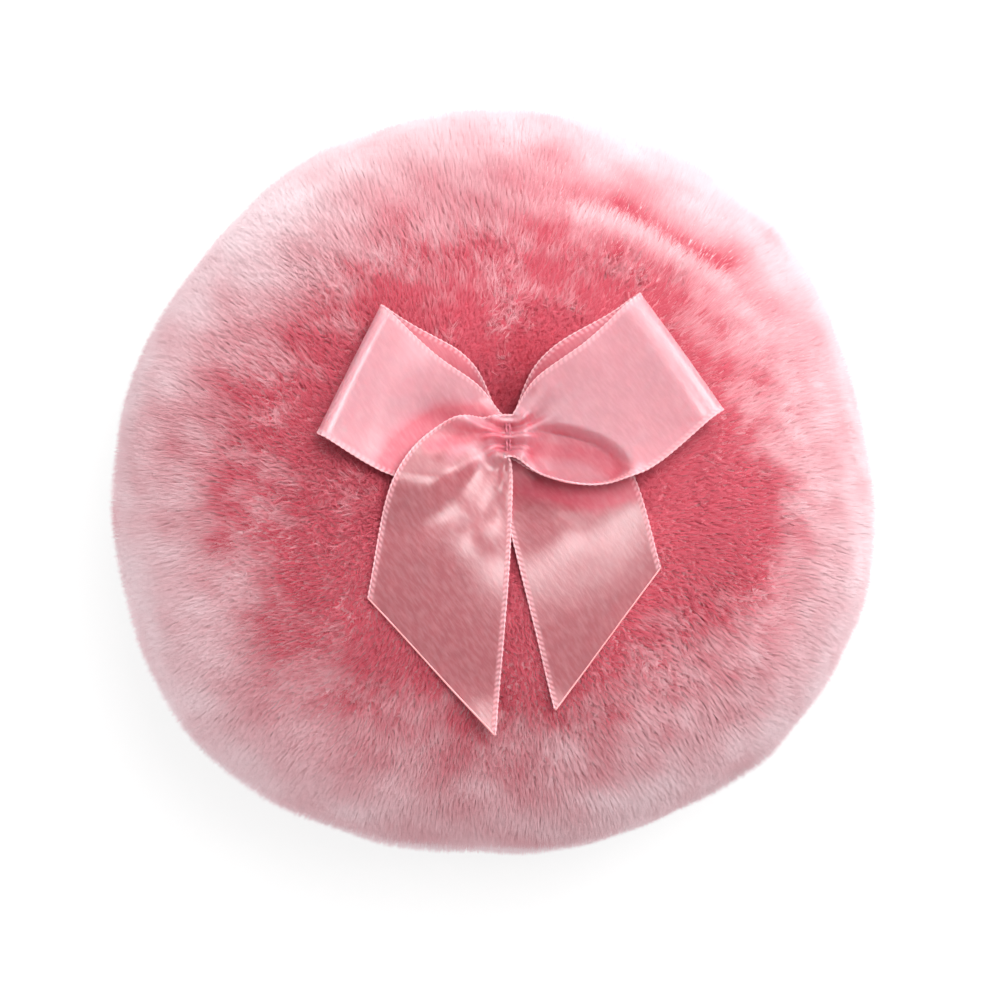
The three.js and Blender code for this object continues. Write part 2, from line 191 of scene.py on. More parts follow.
class FurSizes(bpy.types.PropertyGroup):
    """The plush body and its pile"""

    crown_rise: bpy.props.FloatProperty(
        name="Crown rise", description="From the rim seam up to the crown before the tuft pulls it in",
        default=27 * MM, unit="LENGTH")
    crown_fullness: bpy.props.FloatProperty(
        name="Crown fullness", description="How square the crown's outline is", default=2.4)
    rest_radius: bpy.props.FloatProperty(
        name="Rest radius", description="Half the width of the flat that the puff rests on",
        default=23 * MM, unit="LENGTH")
    tuft_depth: bpy.props.FloatProperty(
        name="Tuft depth", description="How far the sewn bow pulls the crown in",
        default=7 * MM, unit="LENGTH")
    tuft_radius: bpy.props.FloatProperty(
        name="Tuft radius", description="How far the pulled-in dimple spreads",
        default=9 * MM, unit="LENGTH")
    plush_depth: bpy.props.FloatProperty(
        name="Plush depth", description="Pile and backing together", default=10 * MM, unit="LENGTH")
    bed_depth: bpy.props.FloatProperty(
        name="Bed depth", description="From the puff's outline down to the dense pile",
        default=0.9 * MM, unit="LENGTH")
    pile_length: bpy.props.FloatProperty(
        name="Open pile", description="The length of fibre that stands clear of the dense pile",
        default=1.9 * MM, unit="LENGTH")
    fibre_width: bpy.props.FloatProperty(
        name="Fibre width", description="Width of one wisp of fibres at its root",
        default=0.12 * MM, unit="LENGTH")
    fibre_count: bpy.props.IntProperty(
        name="Fibres", description="Wisps of fibre over the whole puff", default=500000)
    lock_spacing: bpy.props.FloatProperty(
        name="Lock spacing", description="Distance between the locks that the wisps lean to",
        default=0.32 * MM, unit="LENGTH")
    deep_root: bpy.props.FloatVectorProperty(
        name="Deep root colour", description="Root of a fibre where the pile is deep pink",
        subtype="COLOR", default=(0.575, 0.064, 0.098), size=3)
    deep_tip: bpy.props.FloatVectorProperty(
        name="Deep tip colour", description="Tip of a fibre where the pile is deep pink",
        subtype="COLOR", default=(0.645, 0.122, 0.168), size=3)
    pale_root: bpy.props.FloatVectorProperty(
        name="Pale root colour", description="Root of a fibre where the pile is pale pink",
        subtype="COLOR", default=(1.0, 0.785, 0.825), size=3)
    pale_tip: bpy.props.FloatVectorProperty(
        name="Pale tip colour", description="Tip of a fibre where the pile is pale pink",
        subtype="COLOR", default=(1.0, 0.80, 0.84), size=3)


class RibbonSizes(bpy.types.PropertyGroup):
    """The ribbon and the bow that it is folded into"""

    width: bpy.props.FloatProperty(
        name="Width", description="Width of the ribbon", default=15 * MM, unit="LENGTH")
    thickness: bpy.props.FloatProperty(
        name="Thickness", description="Thickness of the ribbon", default=0.17 * MM, unit="LENGTH")
    gather: bpy.props.FloatProperty(
        name="Gathered width", description="Width at the waist", default=4.6 * MM, unit="LENGTH")
    waist_half: bpy.props.FloatProperty(
        name="Half waist", description="Half the length of the tight waist", default=0.5 * MM,
        unit="LENGTH")
    layer_pitch: bpy.props.FloatProperty(
        name="Layer pitch", description="Height from one layer to the next", default=0.8 * MM,
        unit="LENGTH")
    pleat_height: bpy.props.FloatProperty(
        name="Pleat height", description="Height of the pleats at the waist", default=0.75 * MM,
        unit="LENGTH")
    pleat_reach: bpy.props.FloatProperty(
        name="Pleat reach", description="How far the pleats run out", default=5.4 * MM,
        unit="LENGTH")
    loop_rise: bpy.props.FloatProperty(
        name="Loop rise", description="How far a loop's upper layer rises from the waist",
        default=7.6 * MM, unit="LENGTH")
    roll: bpy.props.FloatProperty(
        name="Roll", description="Width of the strip that rolls over at the right fold",
        default=2.2 * MM, unit="LENGTH")
    left_roll: bpy.props.FloatProperty(
        name="Left roll", description="Width of the strip that rolls over at the left fold",
        default=0.5 * MM, unit="LENGTH")
    loop_skew: bpy.props.FloatProperty(
        name="Loop skew", description="How far the under layer lies behind the upper one",
        default=2.3 * MM, unit="LENGTH")
    left_fold_radius: bpy.props.FloatProperty(
        name="Left fold radius", description="How far the crisper left fold bulges",
        default=0.4 * MM, unit="LENGTH")
    fold_radius: bpy.props.FloatProperty(
        name="Fold radius", description="How far the soft fold bulges", default=0.9 * MM,
        unit="LENGTH")
    seat_gap: bpy.props.FloatProperty(
        name="Seat gap", description="From the pile up to the ribbon", default=0.4 * MM,
        unit="LENGTH")
    colour: bpy.props.FloatVectorProperty(
        name="Colour", description="Colour of the satin", subtype="COLOR",
        default=(0.54, 0.235, 0.275), size=3)
    # Painted sheen: the paler colour that the slanting threads are painted
    sheen_thread_colour: bpy.props.FloatVectorProperty(
        name="Thread colour", description="Colour of the threads that catch the light",
        subtype="COLOR", default=(0.86, 0.50, 0.54), size=3)
    # Painted shade: the deep pink that the satin is painted in its hollows
    hollow_shade_colour: bpy.props.FloatVectorProperty(
        name="Hollow colour", description="Colour of the satin where its folds light each other",
        subtype="COLOR", default=(0.56, 0.09, 0.135), size=3)
    # Painted shade: the tails are painted a darker pink than the loops, over this length from each cut
    # end
    tail_length: bpy.props.FloatProperty(
        name="Tail length", description="Length of each tail, which shows the ribbon's shiny face",
        default=33 * MM, unit="LENGTH")
    shaded_tail_colour: bpy.props.FloatVectorProperty(
        name="Shiny face colour", description="Colour of the satin's shiny face", subtype="COLOR",
        default=(0.335, 0.068, 0.086), size=3)
    edge_colour: bpy.props.FloatVectorProperty(
        name="Selvedge colour", description="Colour of the looped edges", subtype="COLOR",
        default=(0.82, 0.40, 0.44), size=3)
    cut_colour: bpy.props.FloatVectorProperty(
        name="Cut end colour", description="Colour of the melted ends", subtype="COLOR",
        default=(0.85, 0.34, 0.35), size=3)


class StageSizes(bpy.types.PropertyGroup):
    """The camera and the lamps"""

    distance: bpy.props.FloatProperty(
        name="Camera distance", description="From the camera to the puff", default=412 * MM,
        unit="LENGTH")
    elevation: bpy.props.FloatProperty(
        name="Elevation", description="Height of the camera as an angle", subtype="ANGLE",
        default=math.radians(78.05))
    azimuth: bpy.props.FloatProperty(
        name="Azimuth", description="How far the camera stands to the left of the front",
        subtype="ANGLE", default=math.radians(16.25))
    roll: bpy.props.FloatProperty(
        name="Roll", description="Turn of the camera that sets the bow upright in the picture",
        subtype="ANGLE", default=math.radians(16.0))
    lens: bpy.props.FloatProperty(
        name="Lens", description="Focal length in millimetres", default=129.9)
    aim: bpy.props.FloatVectorProperty(
        name="Aim", description="The point that the camera looks at", subtype="TRANSLATION",
        default=(0.44 * MM, -2.17 * MM, 25 * MM), size=3)
    key_power: bpy.props.FloatProperty(
        name="Key lamp", description="Watts of the large lamp behind the puff", default=2.35)
    left_power: bpy.props.FloatProperty(
        name="Left lamp", description="Watts of the soft lamp on the left", default=1.4)
    right_power: bpy.props.FloatProperty(
        name="Right lamp", description="Watts of the soft lamp on the right", default=2.3)
    front_power: bpy.props.FloatProperty(
        name="Front lamp", description="Watts of the soft lamp in front", default=0.75)
    top_power: bpy.props.FloatProperty(
        name="Top lamp", description="Watts of the small lamp over the puff", default=2.7)
    sky: bpy.props.FloatProperty(
        name="Sky", description="Strength of the even light all round", default=0.62)
    floor_colour: bpy.props.FloatVectorProperty(
        name="Floor colour", description="Colour of the plain floor", subtype="COLOR",
        default=(0.95, 0.95, 0.95), size=3)


class Value:
    """A shader socket that stands in a Python expression."""

    def __init__(self, finish, socket):
        self.finish = finish
        self.socket = socket

    def _maths(self, operation, first, second):
        return self.finish.node("ShaderNodeMath", {"operation": operation}, {0: first, 1: second})

    def __add__(self, other):
        return self._maths("ADD", self, other)

    def __sub__(self, other):
        return self._maths("SUBTRACT", self, other)

    def __rsub__(self, other):
        return self._maths("SUBTRACT", other, self)

    def __mul__(self, other):
        return self._maths("MULTIPLY", self, other)

    __radd__ = __add__
    __rmul__ = __mul__


class Finish:
    """A material that is put together from nodes."""

    def __init__(self, name):
        self.material = bpy.data.materials.new(name)
        self.material.use_nodes = True
        self.tree = self.material.node_tree
        self.tree.nodes.clear()

    @classmethod
    def of_tree(cls, tree):
        finish = cls.__new__(cls)
        finish.tree = tree
        tree.nodes.clear()
        return finish

    def seen(self):
        """1 where a ray of the camera, a mirror or clear glass arrives, and 0 for light."""
        looks = (self.node("ShaderNodeLightPath", output=name)
                 for name in ("Is Camera Ray", "Is Glossy Ray", "Is Transmission Ray"))
        return self.clamp(sum(looks, 0.0))

    def node(self, kind, settings=None, sockets=None, output=0):
        """Add a node, with its settings first and then the values or links of its sockets."""
        made = self.tree.nodes.new(kind)
        for name, value in (settings or {}).items():
            setattr(made, name, value)
        for name, value in (sockets or {}).items():
            if isinstance(value, Value):
                self.tree.links.new(value.socket, made.inputs[name])
            else:
                made.inputs[name].default_value = value
        return Value(self, made.outputs[output]) if made.outputs else None

    def place(self):
        """Where a point is in the piece's own frame, in metres."""
        return self.node("ShaderNodeTexCoord", output=3)

    def noise(self, place, scale, detail=2.0):
        sockets = {"Vector": place, "Scale": scale, "Detail": detail}
        return self.node("ShaderNodeTexNoise", sockets=sockets)

    def parts(self, vector):
        """The first two parts of a vector."""
        first = self.node("ShaderNodeSeparateXYZ", sockets={0: vector})
        return first, Value(self, first.socket.node.outputs[1])

    def sine(self, value):
        return self.node("ShaderNodeMath", {"operation": "SINE"}, {0: value})

    def size(self, value):
        """A value without its sign."""
        return self.node("ShaderNodeMath", {"operation": "ABSOLUTE"}, {0: value})

    def clamp(self, value):
        return self.node("ShaderNodeClamp", sockets={"Value": value})

    def ramp(self, value, low, high):
        """0 up to the low value, 1 from the high one on, and evenly from 0 to 1 between them."""
        return self.clamp((value - low) * (1 / (high - low)))

    def mix(self, factor, first, second):
        colours = {
            key: value if isinstance(value, Value) else (*value, 1)
            for key, value in ((6, first), (7, second))
        }
        sockets = {0: factor, **colours}
        return self.node("ShaderNodeMix", {"data_type": "RGBA"}, sockets, output=2)

    def bump(self, height, strength, distance):
        sockets = {"Height": height, "Strength": strength, "Distance": distance}
        return self.node("ShaderNodeBump", sockets=sockets)

    def surface(self, **sockets):
        named = {key.replace("_", " "): value for key, value in sockets.items()}
        shader = self.node("ShaderNodeBsdfPrincipled", sockets=named)
        self.node("ShaderNodeOutputMaterial", sockets={"Surface": shader})
        return self.material


def fibre_finish(fur):
    """Pile fibres: deeper at the root and paler at the tip, in a tone of their own, which holds
    painted light and shade as well as the pile's own mottling.
    Across the map runs the tone and up the map the way along the fibre."""
    finish = Finish("plush fibre")
    tone, along = finish.parts(finish.node("ShaderNodeUVMap", {"uv_map": BAKE_MAP}))
    deep = finish.mix(along, tuple(fur.deep_root), tuple(fur.deep_tip))
    pale = finish.mix(along, tuple(fur.pale_root), tuple(fur.pale_tip))
    return finish.surface(
        Base_Color=finish.mix(tone, deep, pale),
        Roughness=0.7,
        Specular_IOR_Level=0.08,
    )


def pile_bed_finish(fur):
    """The dense pile between the open fibres, deep pink at the crown and pale at the rim like them,
    partly painted shade and light.
    """
    finish = Finish("dense pile")
    place = finish.place()
    noise = finish.noise(place, 900.0, 3.0)
    plan = finish.node(
        "ShaderNodeVectorMath", {"operation": "MULTIPLY"}, {0: place, 1: (1.0, 1.0, 0.0)})
    radius = finish.node("ShaderNodeVectorMath", {"operation": "LENGTH"}, {0: plan}, output=1)
    # Painted shade and light: deep round the crown, pale towards the rim, with some mottling
    tone = finish.clamp((radius - 15 * MM) * (1 / (27 * MM)) + noise * 0.3 - 0.15)
    return finish.surface(
        Base_Color=finish.mix(tone, tuple(fur.deep_tip), tuple(fur.pale_tip)),
        Roughness=0.9,
        Specular_IOR_Level=0.1,
        Normal=finish.bump(noise, 0.8, 0.4 * MM),
    )


def satin_finish(ribbon, ribbon_length):
    """Satin with fine slanting threads painted paler as sheen, slightly cloudy, and a denser band
    along both selvedges. The tails are painted darker as shade and the hollows painted deep pink as
    shade.
    Both lengths are in millimetres, as the map along and across the ribbon is."""
    finish = Finish("pink satin")
    place = finish.node("ShaderNodeUVMap", {"uv_map": CLOTH_MAP})
    along, across = finish.parts(place)
    free = finish.parts(finish.node("ShaderNodeUVMap", {"uv_map": PAINTED_SHADE_MAP}))[0]
    threads = finish.node("ShaderNodeMapping", {"vector_type": "TEXTURE"}, {
        "Vector": finish.place(),
        "Rotation": (0.0, 0.0, math.radians(36)),
        "Scale": (0.34 * MM, 1.3 * MM, 1.3 * MM),
    })
    weft = finish.noise(threads, 1.0)
    cloud = finish.noise(place, 0.35)
    grain = finish.noise(place, 3.2, 3.0)
    # Painted shade: the less open a point is, the more the satin is painted deep pink and the rougher
    # it is
    occlusion_shade = 1 - finish.ramp(free, 0.60, 0.97)

    # The looped selvedges
    half_width = ribbon.width / MM / 2
    band = finish.ramp(finish.size(across - half_width), half_width - 0.6, half_width - 0.35)
    ticks = finish.sine(along * 10.1) * 0.5 + 0.5

    # Painted shade: the tails painted darker than the loops, and the hollows painted deep pink
    half_length = ribbon_length / 2
    start = half_length - ribbon.tail_length / MM
    tail = finish.ramp(finish.size(along - half_length), start - 2, start + 2)
    face = finish.mix(tail, tuple(ribbon.colour), tuple(ribbon.shaded_tail_colour))
    face = finish.mix(occlusion_shade * 0.9, face, tuple(ribbon.hollow_shade_colour))
    shade = finish.mix(0.12, face, (0, 0, 0))
    satin = finish.mix(finish.ramp(cloud, 1 / 7, 6 / 7), shade, face)
    # Painted sheen: the slanting threads are painted paler, as if they caught the light
    sheen_lined = finish.mix(
        finish.ramp(weft, 0.3875, 1.0125) * 0.22, satin, tuple(ribbon.sheen_thread_colour))
    height = weft * 1.2 + grain * 0.5 + band * 0.5
    return finish.surface(
        Base_Color=finish.mix(band * (ticks * 0.5 + 0.1), sheen_lined, tuple(ribbon.edge_colour)),
        Roughness=finish.clamp(0.27 + cloud * 0.05 + weft * 0.06 + band * 0.2 + occlusion_shade * 0.3),
        IOR=1.65,
        Subsurface_Weight=1.0,
        Subsurface_Radius=(1.0, 0.28, 0.34),
        Subsurface_Scale=0.5 * MM,
        Normal=finish.bump(height, 0.45, 0.03 * MM),
    )


def thread_finish(name, colour, depth=0.65):
    """Twisted thread, darkened to the given share of its colour between its plies as painted shade."""
    finish = Finish(name)
    twist = finish.node(
        "ShaderNodeTexWave", {"wave_type": "BANDS", "bands_direction": "DIAGONAL"},
        {"Vector": finish.place(), "Scale": 900.0, "Distortion": 1.5})
    # Painted shade in the grooves between the plies
    shade = [depth * value for value in colour]
    return finish.surface(
        Base_Color=finish.mix(twist, tuple(shade), colour),
        Roughness=0.55,
        Normal=finish.bump(twist, 0.5, 0.05 * MM),
    )


def filling_finish():
    """Matted white fibre."""
    finish = Finish("fibre filling")
    noise = finish.noise(finish.place(), 420.0, 5.0)
    return finish.surface(
        Base_Color=finish.mix(noise, (0.80, 0.78, 0.74), (0.95, 0.94, 0.91)),
        Roughness=0.95,
        Normal=finish.bump(noise, 0.9, 0.6 * MM),
    )


def floor_finish(colour):
    """A plain pale floor. What looks at it sees it as nearly white, with a light shadow."""
    finish = Finish("plain floor")
    noise = finish.noise(finish.place(), 2.0)
    dimmer = [0.985 * value for value in colour]
    plain = finish.node("ShaderNodeBsdfPrincipled", sockets={
        "Base Color": finish.mix(noise, tuple(dimmer), tuple(colour)), "Roughness": 0.8})
    white = finish.node("ShaderNodeEmission", sockets={"Color": (1, 1, 1, 1), "Strength": 1.0})
    seen = finish.seen() * 0.8
    mixed = finish.node("ShaderNodeMixShader", sockets={0: seen, 1: plain, 2: white})
    finish.node("ShaderNodeOutputMaterial", sockets={"Surface": mixed})
    return finish.material


def mesh_object(name, points, faces, material, maps=None):
    """A mesh from an array of points and arrays of faces. Each array holds faces of one number of
    corners, and each map holds a pair of numbers for every corner."""
    corners = np.concatenate([block.ravel() for block in faces]).astype(np.int32)
    sizes = np.concatenate([np.full(len(block), block.shape[1]) for block in faces])
    starts = np.concatenate([[0], np.cumsum(sizes)[:-1]]).astype(np.int32)
    mesh = bpy.data.meshes.new(name)
    mesh.vertices.add(len(points))
    mesh.vertices.foreach_set("co", np.asarray(points, np.float32).ravel())
    mesh.loops.add(len(corners))
    mesh.loops.foreach_set("vertex_index", corners)
    mesh.polygons.add(len(sizes))
    mesh.polygons.foreach_set("loop_start", starts)
    mesh.update(calc_edges=True)
    for map_name, values in (maps or {}).items():
        layer = mesh.uv_layers.new(name=map_name)
        layer.uv.foreach_set("vector", np.asarray(values, np.float32).ravel())
    mesh.materials.append(material)
    piece = bpy.data.objects.new(name, mesh)
    bpy.context.collection.objects.link(piece)
    return piece


def grid_faces(rows, columns, closed=False):
    """Four-cornered faces between the points of a grid, which wraps round if it is closed."""
    row, column = np.meshgrid(np.arange(rows - 1), np.arange(columns - (not closed)), indexing="ij")
    after = (column + 1) % columns
    corners = [row * columns + column, row * columns + after,
               (row + 1) * columns + after, (row + 1) * columns + column]
    return np.stack(corners, -1).reshape(-1, 4)


def unit(vectors):
    return vectors / np.maximum(np.linalg.norm(vectors, axis=-1, keepdims=True), 1e-12)


def smooth_step(values, low, high):
    share = np.clip((values - low) / (high - low), 0, 1)
    return share * share * (3 - 2 * share)


def waves(points, wavelength, seed, count=14):
    """A smooth random field between about -1 and 1, made of plane waves in random directions."""
    random = np.random.default_rng(seed)
    ways = unit(random.normal(size=(count, 3)))
    lengths = wavelength * random.uniform(0.7, 1.5, count)
    phases = random.uniform(0, 2 * math.pi, count)
    turns = points @ ways.T * (2 * math.pi / lengths) + phases
    return np.sin(turns).sum(1) / math.sqrt(count)


def crown_height(radius, fur):
    """Height of the crown, with the dimple that the sewn bow pulls into it."""
    share = np.minimum(radius / RIM_RADIUS, 1)
    dome = fur.crown_rise * np.sqrt(1 - share ** fur.crown_fullness)
    return EQUATOR + dome - fur.tuft_depth * np.exp(-((radius / fur.tuft_radius) ** 2))


class Outline:
    """The half outline of the puff from the middle of its crown to the middle of its base."""

    def __init__(self, fur, steps=400):
        turn = np.linspace(0, math.pi / 2, steps)
        crown = RIM_RADIUS * np.sin(turn) ** (2 / fur.crown_fullness)
        side = fur.rest_radius + (RIM_RADIUS - fur.rest_radius) * np.cos(turn)
        floor = np.linspace(fur.rest_radius, 0, steps // 2)
        radius = np.concatenate([crown, side[1:], floor[1:]])
        height = np.concatenate([
            crown_height(crown, fur),
            (EQUATOR * (1 - np.sin(turn)))[1:],
            np.zeros(len(floor) - 1),
        ])
        self.length = np.concatenate([[0], np.cumsum(np.hypot(np.diff(radius), np.diff(height)))])
        self.radius = radius
        self.height = height
        slope_out = np.gradient(radius, self.length)
        slope_up = np.gradient(height, self.length)
        self.normal_out = -slope_up
        self.normal_up = slope_out
        self.rim = self.length[np.argmax(radius)]

    def at(self, length, angle, depth=0.0):
        """Points and normals at lengths along the outline, angles round it and a depth inside."""
        radius = np.interp(length, self.length, self.radius)
        height = np.interp(length, self.length, self.height)
        out = np.interp(length, self.length, self.normal_out)
        up = np.interp(length, self.length, self.normal_up)
        size = np.hypot(out, up)
        out, up = out / size, up / size
        cos, sin = np.cos(angle), np.sin(angle)
        inner = np.maximum(radius - depth * out, 0)
        points = np.stack([inner * cos, inner * sin, height - depth * up], -1)
        normals = np.stack([out * cos, out * sin, up], -1)
        return points, normals

    def spread(self, count):
        """Places spread evenly over the surface: lengths along the outline and angles round it."""
        strips = np.diff(self.length) * (self.radius[1:] + self.radius[:-1]) / 2
        area = np.concatenate([[0], np.cumsum(strips)])
        shares = (np.arange(count) + 0.5) / count
        length = np.interp(shares * area[-1], area, self.length)
        return length, np.arange(count) * GOLDEN_ANGLE


def swell(points):
    """The soft unevenness of the stuffed body, as a distance along its normals."""
    angle = np.degrees(np.arctan2(points[:, 1], points[:, 0]))
    radius = np.hypot(points[:, 0], points[:, 1])
    side = smooth_step(radius, RIM_SWELL_START_SHARE * RIM_RADIUS, RIM_RADIUS)
    amount = BODY_LUMP * waves(points, BODY_LUMP_WIDTH, 3)
    for at, size in RIM_SWELLS:
        turn = (angle - at + 180) % 360 - 180
        amount += side * size * MM * np.exp(-((turn / RIM_SWELL_SPREAD) ** 2))
    return amount


def line_distance(places, line):
    """How far each place, seen from above, is from a line in millimetres."""
    best = np.full(len(places), np.inf)
    for start, end in zip(line[:-1], line[1:]):
        start, end = np.array(start) * MM, np.array(end) * MM
        run = end - start
        share = np.clip(((places - start) @ run) / (run @ run), 0, 1)
        distance = np.linalg.norm(places - (start + share[:, None] * run), axis=1)
        best = np.minimum(best, distance)
    return best


def near_line(x, y, line, width):
    """From 1 on a line down to 0 away from it, over a width in millimetres."""
    away = line_distance(np.stack([x.ravel(), y.ravel()], -1), line).reshape(x.shape)
    return np.exp(-((away / (width * MM)) ** 2))


class Bow:
    """The bow's one ribbon as rows of points: left tail, right loop, left loop, right tail."""

    across = 45
    tail_rows = 44
    loop_rows = 52
    fold_rows = 13

    wrap_height = 1.75 * MM
    seat_blend = 1.2 * MM
    pocket_length = 19 * MM
    pocket_rise = 0.2 * MM
    pocket_arch_share = 0.12
    roll_share = 0.45
    tail_fall = (4.2 * MM, 10.4 * MM)

    pleat_count = 8
    pleat_spread = 1.2 * MM
    puff_height = 0.7 * MM
    puff_place = 1.7 * MM
    puff_width = 0.9 * MM
    wrinkle = 0.12 * MM
    wrinkle_count = 19
    fine_wrinkle = 0.07 * MM
    fine_wrinkle_count = 31

    def __init__(self, ribbon, fur):
        self.ribbon = ribbon
        self.fur = fur
        self.floor = CINCH_BOX[0].z + self.wrap_height

    def soft_max(self, a, b):
        """The larger of two heights, with a soft bend where they cross."""
        near = np.maximum(self.seat_blend - np.abs(a - b), 0) / self.seat_blend
        return np.maximum(a, b) + near * near * self.seat_blend / 4

    @staticmethod
    def folds(name, x, y):
        """The height of the soft folds that run out from the waist."""
        angle = np.degrees(np.arctan2(y, x))
        away = np.hypot(x, y)
        height = 0 * x
        for fold in FOLDS.get(name, ()):
            turn = (angle - fold["angle"] + 180) % 360 - 180
            spread = np.where(turn < 0, *fold["spreads"])
            start, top, end = (place * MM for place in fold["reach"])
            run = smooth_step(away, start, top) * (1 - smooth_step(away, top, end))
            height += fold["height"] * MM * run * np.exp(-((turn / spread) ** 2))
        return height

    @staticmethod
    def rolled_lip(x, y):
        """The right loop's lower edge rolls up near the waist, with a hollow behind it."""
        outside = Bow.cup_edge(x, y)
        away = np.hypot(x, y)
        face = LIP_CUP["rise"] * smooth_step(away, 2 * MM, 7 * MM)
        hollow = LIP_CUP["sink"] * smooth_step(away, 2 * MM, 6 * MM)
        lip = LIP["height"] * near_line(x, y, LIP["line"], LIP["width"])
        return (face * outside + hollow * (1 - outside) + lip) * MM

    @staticmethod
    def hollow(name, x, y):
        """How deep each point lies in the painted shade of a hollow, from 0 to 1."""
        hollow = SHADED_HOLLOWS[name]
        depth = hollow["depth"] * near_line(x, y, hollow["line"], hollow["width"])
        if name == "right over":
            depth = depth * (1 - Bow.cup_edge(x, y))
        return depth

    @staticmethod
    def cup_edge(x, y):
        """From 0 inside the hollow behind the rolled lip to 1 outside it."""
        turn = math.radians(LIP_CUP["turn"])
        (middle_x, middle_y), (length, width) = LIP_CUP["middle"], LIP_CUP["halves"]
        right, ahead = x / MM - middle_x, y / MM - middle_y
        along = (right * math.cos(turn) + ahead * math.sin(turn)) / length
        across = (ahead * math.cos(turn) - right * math.sin(turn)) / width
        return smooth_step(np.hypot(along, across), 0.88, 1.1)

    def pleat(self, x, y):
        """The height of the gathers at the waist: broad pleats, wrinkles and a puff beside it."""
        ribbon = self.ribbon
        fan = np.arctan2(y, np.maximum(np.abs(x), self.pleat_spread) + self.pleat_spread)
        away = np.hypot(x, y)
        fade = 1 - smooth_step(away, ribbon.gather / 2, ribbon.pleat_reach)
        fine = 1 - smooth_step(away, ribbon.gather / 2, 0.7 * ribbon.pleat_reach)
        broad = ribbon.pleat_height * fade * (1 + np.cos(self.pleat_count * fan)) / 2
        puffed = np.exp(-(((np.abs(x) - self.puff_place) / self.puff_width) ** 2))
        rough = self.wrinkle * (1 + np.cos(self.wrinkle_count * fan + 1.1))
        rough += self.fine_wrinkle * np.cos(self.fine_wrinkle_count * fan + 0.4)
        return broad + fine * (rough + self.puff_height * puffed)

    def pocket(self, x, y, shares, base):
        """How far a loop's flat face stands above the pile. It rolls over at the fold."""
        ribbon = self.ribbon
        front, back = shares["front"][-1], shares["back"][-1]
        middle = unit(np.array([front[0] + back[0], front[1] + back[1]]))
        aside = 2 * (x * middle[1] - y * middle[0]) / ribbon.width
        run = (np.hypot(x, y) - ribbon.gather / 2) / self.pocket_length
        arch = 1 - self.pocket_arch_share * np.minimum(aside * aside, 1)
        face = self.floor + ribbon.loop_rise * run * arch
        out = unit(np.array([back[1] - front[1], front[0] - back[0]]))
        end = abs(out @ front) * ribbon.width
        roll = ribbon.roll if front[0] > 0 else ribbon.left_roll
        past = np.maximum(np.abs(x * out[0] + y * out[1]) - end + roll, 0)
        near = self.pocket_rise * smooth_step(run, 0.0, 0.5)
        return self.soft_max(face - base, near) - self.roll_share * past * past / roll

    def lift(self, name, x, y, base):
        """How far each length of ribbon stands above what carries it."""
        pitch = self.ribbon.layer_pitch
        if name == "left over":
            return pitch + self.pocket(x, y, LEFT_LOOP_SHARES, base)
        if name == "left tail":
            over = 2 * pitch + self.pocket(x, y, LEFT_LOOP_SHARES, base)
            return over * (1 - smooth_step(-y, *self.tail_fall))
        if name == "right under":
            return pitch + 0 * x
        if name == "right over":
            return 2 * pitch + self.pocket(x, y, RIGHT_LOOP_SHARES, base)
        return 0 * x

    def edge(self, side, end, places, along):
        """One selvedge from the waist out, as a smooth curve through its places."""
        ribbon = self.ribbon
        start = (side * ribbon.waist_half, end * ribbon.gather / 2)
        knots = np.array([start, *(np.array(place) * ribbon.width for place in places)])
        knots = np.vstack([2 * knots[0] - knots[1], knots, 2 * knots[-1] - knots[-2]])
        spot = along * len(places)
        step = np.minimum(spot.astype(int), len(places) - 1)
        t = (spot - step)[:, None]
        a, b, c, d = (knots[step + k] for k in range(4))
        return 0.5 * (2 * b + (c - a) * t + (2 * a - 5 * b + 4 * c - d) * t ** 2
                      + (3 * b - a - 3 * c + d) * t ** 3)

    def leg(self, side, shares, name, rows, skew=0.0):
        """One length of ribbon from the waist out, as rows of points and how deep in painted hollow
        shade they are.
        """
        along = np.linspace(0, 1, rows)
        front = self.edge(side, -1, shares["front"], along)[:, None]
        back = self.edge(side, 1, shares["back"], along)[:, None]
        share = np.linspace(0, 1, self.across)[None, :, None]
        place = front * (1 - share) + back * share
        back_by = skew * (np.sin(math.pi * along) ** 2 + 0.45 * smooth_step(along, 0.4, 1.0))
        x, y = place[..., 0], place[..., 1] + back_by[:, None]
        away = np.hypot(x, y)
        seat = crown_height(away, self.fur) + self.ribbon.seat_gap + self.ribbon.thickness / 2
        base = self.soft_max(self.floor, seat)
        height = base + self.lift(name, x, y, base)
        height += self.pleat(x, y) + self.folds(name, x, y)
        if name == "right over":
            height += self.rolled_lip(x, y)
        return np.stack([x, y, height, self.hollow(name, x, y)], -1)

    def fold(self, upper, lower):
        """The rows that join a loop's two layers round its fold."""
        along = upper[-1] - upper[0]
        out = unit(np.array([along[1], -along[0], 0, 0]))
        if out @ upper[0] < 0:
            out = -out
        turn = np.linspace(0, math.pi, self.fold_rows)[1:-1, None, None]
        middle = (upper + lower) / 2
        half = (upper - lower) / 2
        ribbon = self.ribbon
        bulge = ribbon.fold_radius if out[0] > 0 else ribbon.left_fold_radius
        return middle + half * np.cos(turn) + out * bulge * np.sin(turn)

